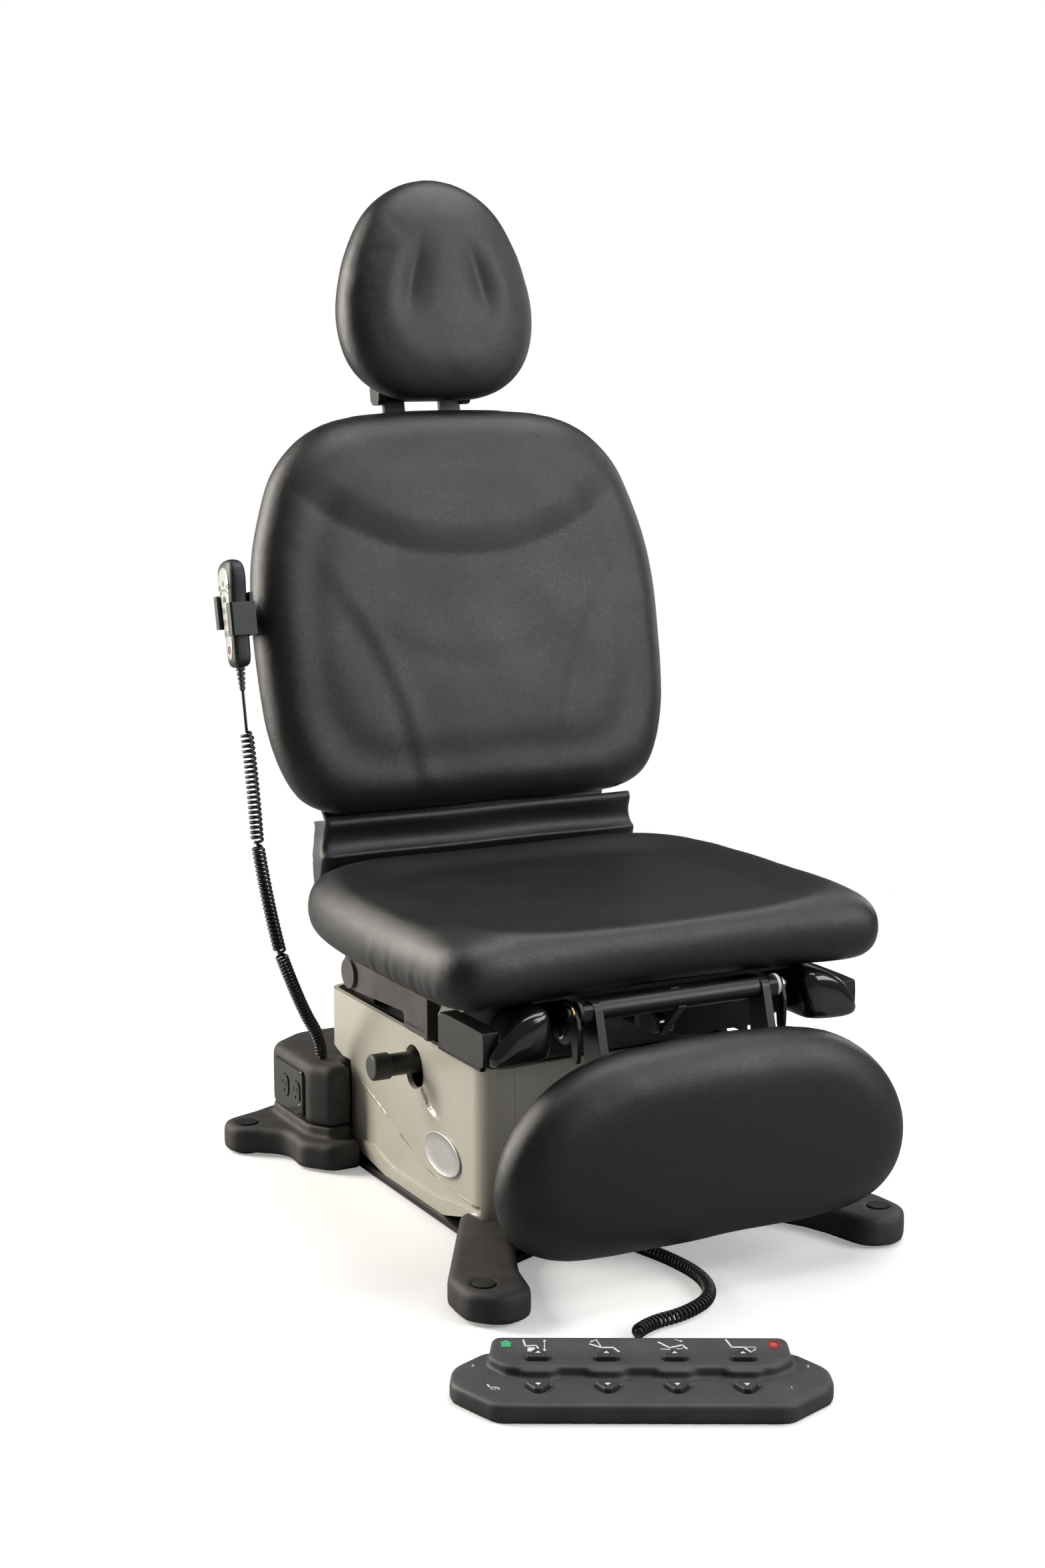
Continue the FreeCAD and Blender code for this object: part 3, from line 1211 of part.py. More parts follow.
shell_gaps = [
    block(
        f"shell_gap_{i}", (f"{mid} - ({half})", f"{mid} + {half}"),
        ("-board_face + board_thick - 1", "27"), (low, high),
    )
    for i, (mid, half, low, high) in enumerate((
        ("-bars_half", "bars_wide / 2 + 3", "board_top - 60", "board_top + 9"),
        ("bars_half", "bars_wide / 2 + 3", "board_top - 60", "board_top + 9"),
        (
            "-tube_half + bar_thick / 2", "bar_thick / 2 + 1", "board_low", "board_low + 90",
        ), ("tube_half - bar_thick / 2", "bar_thick / 2 + 1", "board_low", "board_low + 90"),
    ))
]
node("back_shell", lean(cut("back_shell", shell_outer, shell_room, *shell_gaps)))

pad_low, pad_high, pad_half = size("pad_low"), size("pad_high"), size("pad_half")
BACK_HALF = [
    (0, pad_low + 1), (pad_half - 230, pad_low + 1), (pad_half - 160, pad_low + 1),
    (pad_half - 114, pad_low + 4), (pad_half - 80, pad_low + 13),
    (pad_half - 54, pad_low + 30), (pad_half - 39, pad_low + 53), (pad_half - 28, pad_low + 78),
    (pad_half - 19, pad_low + 108), (pad_half - 12, pad_low + 145), (pad_half - 8, pad_low + 200),
    (pad_half - 6, pad_low + 258), (pad_half - 6, pad_high - 304), (pad_half - 9, pad_high - 258),
    (pad_half - 15, pad_high - 215), (pad_half - 25, pad_high - 175), (pad_half - 39, pad_high - 134),
    (pad_half - 53, pad_high - 99), (pad_half - 74, pad_high - 69), (pad_half - 104, pad_high - 41),
    (pad_half - 143, pad_high - 20), (pad_half - 200, pad_high - 7), (pad_half - 280, pad_high - 1),
    (0, pad_high),
]
BACK_LAYERS = [(0, 24), (0.13, 8), (0.42, 0), (0.66, 3), (0.86, 18), (0.96, 48), (1.0, 100)]
back_face, pad_deep = size("-board_face"), size("pad_thick")
back_pad = cushion(
    "back_pad", BACK_HALF, [(back_face - part * pad_deep, inset) for part, inset in BACK_LAYERS],
    lambda p, w: V(p.x, w, p.y),
)
node("back_cushion", lean(back_pad))

flap_outer = prism(
    "flap_outer", "YZ",
    [
        ("-board_face", "board_low + 1"), ("-board_face", "pad_low - 0.4"),
        ("-board_face - flap_thick", "pad_low - 0.4"), ("-board_face - flap_thick - 4", "pad_low - 26"),
        ("-board_face - flap_thick + 8", "board_low + 1"),
    ],
    "-flap_half", "flap_half", {2: 8, 3: 10, 4: 8},
)
folds = [
    rod(f"fold_{i}", "X", dia, "-flap_half - 1", "flap_half + 1", y, z)
    for i, (dia, y, z) in enumerate((
        ("12", "-board_face - flap_thick - 5", "pad_low - 14"),
        ("16", "-board_face - flap_thick - 3", "pad_low - 40"),
    ))
]
node("back_flap", lean(cut("back_flap", flap_outer, *folds)))

# Clip and hand control on the left of the back

HAND_IN, HAND_OUT = "-hand_mid + hand_thick / 2", "-hand_mid - hand_thick / 2"
HAND_FRONT, HAND_REAR = "-hand_front - hand_wide / 2", "-hand_front + hand_wide / 2"
clip_strip = block(
    "clip_strip", (f"{HAND_IN} + clip_gap", "-board_half + 12"),
    ("-board_face + board_thick", "-board_face + board_thick + clip_wall"),
    ("clip_low + 8", "clip_low + 48"),
)
clip_arm = prism(
    "clip_arm", "YZ",
    [
        (HAND_FRONT, "clip_low"), (HAND_REAR, "clip_low"),
        ("-board_face + board_thick + clip_wall", "clip_low + 8"),
        ("-board_face + board_thick + clip_wall", "clip_low + 48"), (HAND_REAR, "clip_low + clip_tall"),
        (HAND_FRONT, "clip_low + clip_tall"),
    ],
    f"{HAND_IN} + clip_gap", f"{HAND_IN} + clip_gap + clip_wall", {3: 12},
)
jaws = [
    prism(
        f"jaw_{i}", "XY",
        [
            (f"{HAND_IN} + clip_gap + 1", root), (f"{HAND_OUT} - clip_gap - clip_wall", root),
            (f"{HAND_OUT} - clip_gap - clip_wall", lip), (f"{HAND_OUT} - clip_gap", lip),
            (f"{HAND_OUT} - clip_gap", face), (f"{HAND_IN} + clip_gap + 1", face),
        ],
        low, high, {1: 4},
    )
    for i, (root, face, lip, low, high) in enumerate((
        (
            f"{HAND_FRONT} - clip_gap - clip_wall", f"{HAND_FRONT} - clip_gap", f"{HAND_FRONT} + 9",
            "clip_low", "clip_low + clip_tall - 14",
        ),
        (
            f"{HAND_REAR} + clip_gap + clip_wall", f"{HAND_REAR} + clip_gap", f"{HAND_REAR} - 9",
            "clip_low + 14", "clip_low + clip_tall",
        ),
    ))
]
jaw_roots = [
    block(f"jaw_root_{i}", (f"{HAND_IN} + clip_gap", f"{HAND_IN} + clip_gap + clip_wall"), span, rise)
    for i, (span, rise) in enumerate((
        (
            (f"{HAND_FRONT} - clip_gap - clip_wall", f"{HAND_FRONT} + 5"),
            ("clip_low", "clip_low + clip_tall - 14"),
        ),
        (
            (f"{HAND_REAR} - 5", f"{HAND_REAR} + clip_gap + clip_wall"),
            ("clip_low + 14", "clip_low + clip_tall"),
        ),
    ))
]
node("hand_control_clip", lean(fuse("hand_control_clip", clip_strip, clip_arm, *jaws, *jaw_roots)))
hand_body = prism(
    "hand_body", "YZ",
    [
        (f"{HAND_FRONT} + 4", "hand_low"), (f"{HAND_REAR} - 4", "hand_low"),
        (HAND_REAR, "hand_low + hand_tall"), (HAND_FRONT, "hand_low + hand_tall"),
    ],
    HAND_OUT, HAND_IN, {0: 14, 1: 14, 2: 16, 3: 16}, ("low", 4),
)
node("hand_control", lean(hand_body))

relief_rings = []
for i in range(5):
    grow = f"relief_dia - {i} * 1.1"
    relief_rings.append(
        rod(
            f"relief_ring_{i}", "Z", grow, f"hand_low - {i + 1} * relief_long / 5 + 2",
            f"hand_low - {i} * relief_long / 5", "-hand_mid", "-hand_front",
        ),
    )
relief_core = rod(
    "relief_core", "Z", "cord_dia + 2.4", "hand_low - relief_long", "hand_low", "-hand_mid",
    "-hand_front",
)
node("hand_strain_relief", lean(fuse("hand_strain_relief", relief_core, *relief_rings)))

# Headrest, drawn with the back

bars = []
for i, side in enumerate((1, -1)):
    mid = f"{side} * bars_half"
    bars.append(prism(
        f"bar_{i}", "XZ",
        [
            (f"{mid} - bars_wide / 2", "board_top - 245"), (f"{mid} + bars_wide / 2", "board_top - 245"),
            (f"{mid} + bars_wide / 2", "head_hinge + 4"), (f"{mid} - bars_wide / 2", "head_hinge + 4"),
        ],
        "bars_back - bars_thick / 2", "bars_back + bars_thick / 2", {0: 6, 1: 6},
    ))
head_axle = rod(
    "head_axle", "X", "head_axle", "-bars_half - bars_wide / 2 - 14", "bars_half + bars_wide / 2 + 14",
    "bars_back", "head_hinge",
)
node("headrest_bars", lean(fuse("headrest_bars", *bars, head_axle)))
head_face = "bars_back - bars_thick / 2 - head_set"


def nod(thing):
    """Set a piece of the headrest, drawn with the back, to its own lean about the headrest hinge."""
    leaned, own = "back_lean * 1deg", "(back_lean - head_nod) * 1deg"
    return turn(
        thing, V(-1, 0, 0), "back_lean - head_nod", "0",
        f"back_hinge + bars_back * (cos({leaned}) - cos({own})) + head_hinge * (sin({leaned}) - sin({own}))",
        f"hinge_up - bars_back * (sin({leaned}) - sin({own})) + head_hinge * (cos({leaned}) - cos({own}))",
    )


plate_outline_head = [
    ("head_half - 99", "head_low + 34"), ("head_half - 52", "head_low + 90"),
    ("head_half - 66", "head_low + 220"), ("head_half - 102", "head_low + 262"),
]
head_sheet = prism(
    "head_sheet", "XZ", plate_outline_head + [(f"-({x})", z) for x, z in reversed(plate_outline_head)],
    f"{head_face} - head_plate", head_face, {0: 20, 1: 40, 2: 40, 3: 24, 4: 24, 5: 40, 6: 40, 7: 20},
)
head_ear = prism(
    "head_ear", "YZ",
    [
        (f"{head_face} - 1", "head_hinge + 20"), ("bars_back - 14", "head_hinge - 13"),
        ("bars_back + 14", "head_hinge - 13"), ("bars_back + 14", "head_hinge + 16"),
        (f"{head_face} - 1", "head_hinge + 70"),
    ],
    "-bars_half - bars_wide / 2 - 14", "-bars_half - bars_wide / 2 - 2", {1: 8, 2: 13, 3: 13},
)
head_bore = rod("head_bore", "X", "head_axle + 2 * pin_gap", "-200", "200", "bars_back", "head_hinge")
node(
    "headrest_plate",
    nod(
        cut(
            "headrest_plate",
            fuse("headrest_plate_whole", head_sheet, head_ear, mirror("head_ear_other", head_ear)),
            head_bore,
        ),
    ),
)
head_low, head_tall, head_half = size("head_low"), size("head_tall"), size("head_half")
HEAD_HALF = [
    (0, head_low), (head_half - 106, head_low + 2), (head_half - 66, head_low + 12),
    (head_half - 37, head_low + 30), (head_half - 16, head_low + 55), (head_half - 4, head_low + 85),
    (head_half + 1, head_low + 116), (head_half, head_low + 150), (head_half - 5, head_low + 178),
    (head_half - 12, head_low + 205), (head_half - 22, head_low + 231), (head_half - 35, head_low + 257),
    (head_half - 52, head_low + head_tall - 52), (head_half - 76, head_low + head_tall - 29),
    (head_half - 107, head_low + head_tall - 11), (head_half - 136, head_low + head_tall - 2),
    (0, head_low + head_tall),
]
HEAD_LAYERS = [(0, 22), (0.14, 8), (0.42, 0), (0.66, 3), (0.86, 20), (1.0, 58)]
head_rear = size(f"{head_face} - head_plate")
node("headrest_cushion", nod(cushion(
    "headrest_cushion", HEAD_HALF,
    [(head_rear - part * size("head_thick"), inset) for part, inset in HEAD_LAYERS],
    lambda p, w: V(p.x, w, p.y),
)))

# Foot section, hanging from its hinge

leg_tube = rod("leg_tube", "X", "tube_dia", "-tube_half", "tube_half", "-foot_hinge", "hinge_up")
leg_bore = rod(
    "leg_bore", "X", "hinge_pin + 2 * pin_gap", "-tube_half - 1", "tube_half + 1", "-foot_hinge",
    "hinge_up",
)
LEG_REAR = "-foot_hinge - leg_face"
leg_arm = prism(
    "leg_arm", "YZ",
    [
        (LEG_REAR, "leg_low + 90"), (f"{LEG_REAR} + 20", "leg_low + 90"),
        ("-foot_hinge + tube_dia / 2", "hinge_up - 50"),
        ("-foot_hinge + tube_dia / 2 + 1", "hinge_up + tube_dia / 2 - 1"),
        ("-foot_hinge - tube_dia / 2", "hinge_up + tube_dia / 2 - 1"), (LEG_REAR, "leg_high - 30"),
    ],
    "-tube_half", "-tube_half + bar_thick", {0: 3, 1: 8, 2: 20, 3: 12, 4: 12},
)
leg_tie = rod("leg_tie", "X", "22", "-tube_half + 2", "tube_half - 2", f"{LEG_REAR} + 12", "leg_low + 120")
leg_lever = slotted_lever("leg_lever", "foot_drop", "foot_swing", "foot_play", "foot_swing / 2", V(1, 0, 0))
move(leg_lever, "0", "-foot_hinge", "hinge_up")
node(
    "foot_frame",
    cut(
        "foot_frame",
        fuse("foot_frame_whole", leg_tube, leg_arm, mirror("leg_arm_other", leg_arm), leg_tie, leg_lever),
        leg_bore,
    ),
)
leg_shell_half = [
    ("leg_half - 157", "leg_low + 34"), ("leg_half - 56", "leg_low + 90"),
    ("leg_half - 56", "leg_low + 140"), ("leg_half - 150", "leg_high - 40"),
    ("leg_half - 227", "leg_high - 22"),
]
node("foot_shell", prism(
    "foot_shell", "XZ", leg_shell_half + [(f"-({x})", z) for x, z in reversed(leg_shell_half)],
    f"{LEG_REAR} - leg_shell", LEG_REAR, {
        0: 50, 1: 40, 2: 50, 3: 60, 4: 60, 5: 60, 6: 60, 7: 50, 8: 40, 9: 50,
    }, ("high", 3),
))
leg_low, leg_high, leg_half = size("leg_low"), size("leg_high"), size("leg_half")
LEG_HALF = [
    (0, leg_low), (leg_half - 207, leg_low), (leg_half - 127, leg_low + 2), (leg_half - 68, leg_low + 12),
    (leg_half - 30, leg_low + 33), (leg_half - 8, leg_low + 62), (leg_half, leg_low + 94),
    (leg_half, leg_low + 124), (leg_half - 9, leg_high - 126), (leg_half - 25, leg_high - 95),
    (leg_half - 48, leg_high - 67), (leg_half - 77, leg_high - 43), (leg_half - 114, leg_high - 23),
    (leg_half - 163, leg_high - 9), (leg_half - 232, leg_high - 2), (0, leg_high),
]
LEG_LAYERS = [(0, 16), (0.13, 3), (0.42, 0), (0.66, 5), (0.86, 20), (0.96, 38), (1.0, 58)]
leg_face = size(f"{LEG_REAR} - leg_shell")
node("foot_cushion", cushion(
    "foot_cushion", LEG_HALF, [(leg_face - part * size("leg_thick"), inset) for part, inset in LEG_LAYERS],
    lambda p, w: V(p.x, w, p.y),
))
washer_disc = rod(
    "washer_disc", "X", "washer_dia", "-tube_half - lug_play - 14 - washer_thick",
    "-tube_half - lug_play - 14", "-foot_hinge", "hinge_up",
)
washer_hole = rod(
    "washer_hole", "X", "hinge_pin + 2 * pin_gap", "-cover_half", "0", "-foot_hinge", "hinge_up",
)
node("hinge_washers", both("hinge_washers", cut("washer_left", washer_disc, washer_hole)))

# Foot control on the floor, drawn square and then turned

def set_down(thing):
    """Turn a piece of the foot control and set it at its place on the floor."""
    return turn(thing, V(0, 0, -1), "box_turn", "box_x", "box_y")


KEYS = [(f"{column} * key_pitch", row) for row in ("up", "down") for column in (-1.5, -0.5, 0.5, 1.5)]
KEY_MID = {"up": "box_rear - 44", "down": "-box_front + 50"}
KEY_DECK = {"up": "box_high_deck", "down": "box_low_deck"}


def key(name, x, row, grow, low, high, rim=None):
    """Three-cornered key pointing away from the other row, or its opening."""
    way = 1 if row == "up" else -1
    mid = KEY_MID[row]
    foot, tip = f"{mid} - {way} * (key_deep / 2 + {grow})", f"{mid} + {way} * (key_deep / 2 + {grow})"
    half = f"key_wide / 2 + {grow}"
    return prism(
        name, "XY",
        [
            (f"{x} - ({half})", foot), (f"{x} + {half}", foot),
            (f"{x} + {half} - 3", f"{mid} - {way} * 2"), (f"{x} + 4", tip), (f"{x} - 4", tip),
            (f"{x} - ({half}) + 3", f"{mid} - {way} * 2"),
        ],
        low, high, {0: 4, 1: 4, 2: 6, 3: 3, 4: 3, 5: 6}, rim,
    )


box_outline = [
    ("-box_half + 58", "-box_front"), ("box_half - 58", "-box_front"), ("box_half", "-box_front + 62"),
    ("box_half - 2", "box_rear - 46"), ("box_half - 40", "box_rear"), ("-box_half + 40", "box_rear"),
    ("-box_half + 2", "box_rear - 46"), ("-box_half", "-box_front + 62"),
]
box_base = prism(
    "box_base", "XY", box_outline, "0", "box_low_deck",
    {0: 30, 1: 30, 2: 44, 3: 44, 4: 20, 5: 20, 6: 44, 7: 44}, ("high", 7),
)
upper = prism(
    "box_upper", "XY",
    [
        ("-box_half + 70", "box_rear - 76"), ("box_half - 70", "box_rear - 76"),
        ("box_half - 46", "box_rear - 46"), ("box_half - 50", "box_rear - 1"),
        ("-box_half + 50", "box_rear - 1"), ("-box_half + 46", "box_rear - 46"),
    ],
    "box_low_deck - 12", "box_high_deck", {0: 24, 1: 24, 2: 18, 3: 12, 4: 12, 5: 18}, ("high", 5),
)
bulges = [
    prism(f"box_bulge_{i}", "XY",
          [
              (f"{x} - key_wide / 2 - 14", "box_rear - 74"), (f"{x} - key_wide / 2", "box_rear - 82"),
              (f"{x} + key_wide / 2", "box_rear - 82"), (f"{x} + key_wide / 2 + 14", "box_rear - 74"),
              (f"{x} + key_wide / 2", "box_rear - 56"), (f"{x} - key_wide / 2", "box_rear - 56"),
          ],
          "box_low_deck - 8", "box_high_deck - 3", {1: 8, 2: 8})
    for i, (x, row) in enumerate(KEYS) if row == "up"
]
wells = [
    key(
        f"key_well_{i}", x, row, "fit_gap", f"{KEY_DECK[row]} - key_sink - key_travel - 0.5",
        f"{KEY_DECK[row]} + 9",
    )
    for i, (x, row) in enumerate(KEYS)
]
box_gland = rod("box_gland", "Y", "cord_dia + 5", "box_rear - 6", "box_rear + 8", "0", "box_low_deck / 2")
node(
    "foot_control",
    set_down(
        cut("foot_control", fuse("foot_control_whole", box_base, upper, box_gland, *bulges), *wells),
    ),
)
for i, (x, row) in enumerate(KEYS):
    name = f"key_{row}_{i % 4 + 1}"
    node(
        name,
        set_down(
            key(
                name + "_body", x, row, "0", f"{KEY_DECK[row]} - key_sink", f"{KEY_DECK[row]} + key_rise",
                ("high", 2.4),
            ),
        ),
    )

# Cords: straight leads and curls

WIRE = size("cord_dia")
CURL = (size("curl_dia") - WIRE) / 2
CURL_RAMP = size("curl_ramp")


def arc_edge(start, way, end):
    """Arc from a point in a direction to another point, or a line where they agree."""
    chord = end - start
    length = chord.Length
    chord = chord.normalize()
    side = way - chord * way.dot(chord)
    if side.Length < 1e-6:
        return Part.LineSegment(start, end).toShape()
    half = chord.getAngle(way)
    middle = (start + end) * 0.5 + side.normalize() * (length / 2 * math.tan(half / 2))
    return Part.Arc(start, middle, end).toShape()


def biarc(start, way, end, onward):
    """Two tangent arcs between two points with given directions."""
    gap, both_ways = end - start, way + onward
    spread = 2 * (1 - way.dot(onward))
    lean_in = gap.dot(both_ways)
    if spread < 1e-9:
        reach = gap.dot(gap) / (2 * lean_in)
    else:
        reach = (-lean_in + math.sqrt(lean_in ** 2 + spread * gap.dot(gap))) / spread
    first, second = start + way * reach, end - onward * reach
    middle = (first + second) * 0.5
    return [arc_edge(start, way, middle), arc_edge(middle, (second - first).normalize(), end)]


def line_through(points, first=None, last=None):
    """Smooth line through points, with frames along it.

    first and last are the directions at its ends. Returns its length and a
    function that gives position, direction and a steady normal at a length.
    """
    knots = [V(*p) for p in points]
    ways = [(b - a).normalize() for a, b in zip(knots, knots[1:])]
    ways = [V(*first).normalize() if first else ways[0]] + [
        (c - a).normalize() for a, c in zip(knots, knots[2:])
    ] + [V(*last).normalize() if last else ways[-1]]
    table, normal, length, before = [], V(1, 0, 0) if abs(ways[0].x) < 0.8 else V(0, 1, 0), 0.0, knots[0]
    for i in range(len(knots) - 1):
        a, c, chord = knots[i], knots[i + 1], (knots[i + 1] - knots[i]).Length
        b, d = ways[i] * chord, ways[i + 1] * chord
        for j in range(int(4 * chord) + 1):
            u = j / (int(4 * chord) + 1)
            spot = a * (
                2 * u ** 3 - 3 * u ** 2 + 1
            ) + b * (u ** 3 - 2 * u ** 2 + u) + c * (3 * u ** 2 - 2 * u ** 3) + d * (u ** 3 - u ** 2)
            run = a * (6 * u ** 2 - 6 * u) + b * (
                3 * u ** 2 - 4 * u + 1
            ) + c * (6 * u - 6 * u ** 2) + d * (3 * u ** 2 - 2 * u)
            way = V(run).normalize()
            normal = (normal - way * normal.dot(way)).normalize()
            length += (spot - before).Length
            before = spot
            table.append((length, spot, way, normal))
    length += (knots[-1] - before).Length
    table.append((length, knots[-1], ways[-1], normal))

    def at(distance):
        high = next((i for i, entry in enumerate(table) if entry[0] >= distance), len(table) - 1)
        low = max(high - 1, 0)
        span = table[high][0] - table[low][0]
        part = (distance - table[low][0]) / span if span > 0 else 0.0
        mix = [p * (1 - part) + q * part for p, q in zip(table[low][1:], table[high][1:])]
        return mix[0], mix[1].normalize(), mix[2].normalize()

    return length, at


def curly(name, points, turns, first=None, last=None):
    """Curly cord along a smooth line, as one tube on biarcs of a quarter turn."""
    length, at = line_through(points, first, last)
    pitch = (length - 2 * WIRE - 2 * CURL_RAMP) / turns

    def spot(turned):
        """Point of the helix; the first and last turns swell from the straight ends."""
        if turned < 0:
            share, distance = turned + 1, WIRE + CURL_RAMP * (turned + 1)
        elif turned > turns:
            share, distance = turns + 1 - turned, length - WIRE - CURL_RAMP * (turns + 1 - turned)
        else:
            share, distance = 1.0, WIRE + CURL_RAMP + pitch * turned
        middle, way, normal = at(distance)
        angle = 2 * math.pi * turned
        out = normal * math.cos(angle) + way.cross(normal) * math.sin(angle)
        return middle + out * (CURL * share ** 2 * (3 - 2 * share))

    start, first_way, _ = at(0.0)
    finish, last_way, _ = at(length)
    into, out_of = start + first_way * WIRE, finish - last_way * WIRE
    chain = [(into, first_way)]
    for i in range(1, 4 * (turns + 2)):
        turned = i / 4 - 1
        chain.append((spot(turned), (spot(turned + 0.02) - spot(turned - 0.02)).normalize()))
    chain.append((out_of, last_way))
    edges = [Part.LineSegment(start, into).toShape()]
    for (a, way_a), (b, way_b) in zip(chain, chain[1:]):
        edges.extend(biarc(a, way_a, b, way_b))
    edges.append(Part.LineSegment(out_of, finish).toShape())
    spine = Part.Wire(edges)
    ring = Part.Wire([Part.Circle(start, first_way, WIRE / 2).toShape()])
    tube_shape = spine.makePipeShell([ring], True, False)
    report_gap(name, spine)
    tightest = min(e.Curve.Radius for e in edges if isinstance(e.Curve, Part.Circle))
    ratio = tube_shape.Volume / (spine.Length * math.pi * WIRE ** 2 / 4)
    print(
        f"{name}: {turns} curls, pitch {pitch:.2f} mm, tightest arc {tightest:.2f} mm, "
        f"volume over section times length {ratio:.4f}",
    )
    return free(name, tube_shape)


def report_gap(name, spine):
    """Print the least gap of a tube to itself, measured on points of its line."""
    spots = spine.discretize(Distance=WIRE / 2)
    skip = int(2 * math.pi * CURL * 0.55 / (WIRE / 2))
    least = min(
        (spots[i] - spots[j]).Length
        for i in range(len(spots)) for j in range(i + skip, min(i + 5 * skip, len(spots)))
    )
    print(f"{name}: least gap to itself {least - WIRE:.2f} mm")


def on_back(x, y, z):
    """Place on the leaning back, from its coordinates about the back hinge."""
    angle = math.radians(size("back_lean"))
    return (
        x, size("back_hinge") + y * math.cos(angle) + z * math.sin(angle),
        size("hinge_up") + z * math.cos(angle) - y * math.sin(angle),
    )


relief_end = size("hand_low - relief_long")
hand_x, hand_y = size("-hand_mid"), size("-hand_front")
LEAD_TOP = on_back(hand_x, hand_y, relief_end)
LEAD_LOW = on_back(hand_x, hand_y, relief_end - 58)
node(
    "hand_cord_lead",
    free("hand_cord_lead", Part.makeCylinder(WIRE / 2, 58, V(*LEAD_TOP), V(*LEAD_LOW) - V(*LEAD_TOP))),
)
CURL_A = (-366, 238, 520)
CURL_B = (-326, 254, 346)
CURL_END = (size("-housing_half + 34"), size("housing_front + 20"), size("housing_top"))
BACK_DOWN = tuple(V(*LEAD_LOW) - V(*LEAD_TOP))
CURL_A_WAY, CURL_B_WAY = (12, 10, -172), (60, 26, -150)
node(
    "hand_curl_upper",
    curly("hand_curl_upper", [LEAD_LOW, (-374, 230, 606), CURL_A], 18, BACK_DOWN, CURL_A_WAY),
)
node(
    "hand_curl_middle",
    curly("hand_curl_middle", [CURL_A, (-351, 244, 432), CURL_B], 18, CURL_A_WAY, CURL_B_WAY),
)
node(
    "hand_curl_lower",
    curly("hand_curl_lower", [CURL_B, (-286, 276, 254), CURL_END], 20, CURL_B_WAY, (0, 0, -1)),
)
FLOOR_LINE = size("curl_dia") / 2 + 1.6
turned = math.radians(-size("box_turn"))
gland_out = size("box_rear + 8")
CORD_UP = size("box_low_deck / 2")
LEAD_WAY = V(-math.sin(turned), math.cos(turned), 0)
GLAND = V(size("box_x"), size("box_y"), CORD_UP) + LEAD_WAY * gland_out
FOOT_LEAD = GLAND + LEAD_WAY * size("lead_long")
node("foot_cord_curl", curly("foot_cord_curl", [
    (-36, size("-plate_front"), size("glide_thick + plate_thick - cord_dia / 2 - 0.3")),
    (-26, -270, FLOOR_LINE), (-6, -345, FLOOR_LINE), (-2, -425, FLOOR_LINE), (-30, -492, FLOOR_LINE),
    (-92, -524, FLOOR_LINE), (-152, -528, FLOOR_LINE), FOOT_LEAD,
], 34, (0, -1, 0), GLAND - FOOT_LEAD))
node(
    "foot_cord_lead",
    free("foot_cord_lead", Part.makeCylinder(WIRE / 2, size("lead_long"), FOOT_LEAD, GLAND - FOOT_LEAD)),
)

# Check and write the sub-parts

doc.recompute()
faults = [thing.Name for thing in doc.Objects if "Invalid" in thing.State or "Error" in thing.State]
os.makedirs("parts", exist_ok=True)
for name, thing in NODES.items():
    shape = thing.Shape
    if shape.isNull() or not shape.isValid() or not shape.Solids or any(s.Volume <= 0 for s in shape.Solids):
        faults.append(name)
if faults:
    raise SystemExit(f"not built: {sorted(set(faults))}")
for name, thing in NODES.items():
    thing.Shape.exportStep(f"parts/{name}.step")
print(f"{len(NODES)} sub-parts written")
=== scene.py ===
"""Procedure chair: upholstery, cords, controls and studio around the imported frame."""

from __future__ import annotations

import json
import logging
import math
from dataclasses import dataclass, field
from enum import Enum
from typing import Sequence

import bmesh
import bpy
import numpy as np
from mathutils import Matrix, Vector


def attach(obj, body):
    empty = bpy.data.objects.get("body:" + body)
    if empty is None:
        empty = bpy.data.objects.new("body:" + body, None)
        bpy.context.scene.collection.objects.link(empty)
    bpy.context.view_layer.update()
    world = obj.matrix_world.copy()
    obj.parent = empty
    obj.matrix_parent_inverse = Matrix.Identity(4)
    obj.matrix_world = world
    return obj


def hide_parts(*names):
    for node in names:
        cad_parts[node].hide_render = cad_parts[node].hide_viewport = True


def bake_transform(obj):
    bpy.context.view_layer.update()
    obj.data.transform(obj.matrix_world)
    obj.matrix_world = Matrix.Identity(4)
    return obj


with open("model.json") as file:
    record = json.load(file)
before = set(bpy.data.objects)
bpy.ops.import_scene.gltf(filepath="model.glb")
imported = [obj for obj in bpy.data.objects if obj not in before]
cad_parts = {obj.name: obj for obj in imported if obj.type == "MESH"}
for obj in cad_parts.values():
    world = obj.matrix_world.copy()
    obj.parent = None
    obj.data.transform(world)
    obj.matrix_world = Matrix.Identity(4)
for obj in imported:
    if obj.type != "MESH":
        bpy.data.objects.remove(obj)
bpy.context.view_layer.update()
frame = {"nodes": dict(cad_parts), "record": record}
LOG = logging.getLogger("procedure_chair")
MM = 0.001
WELD, WELD_FINE = 1e-5, 1e-7
X, Z = Vector((1, 0, 0)), Vector((0, 0, 1))
SIDES = ((-1, "left"), (1, "right"))
Line = Sequence[Sequence[float]]
Colour = tuple[float, float, float]
Mark = tuple[Line, float, float]
Piece, Mesh = bpy.types.Object, bpy.types.Mesh
Tree, Socket = bpy.types.NodeTree, bpy.types.NodeSocket


# Places on the chair


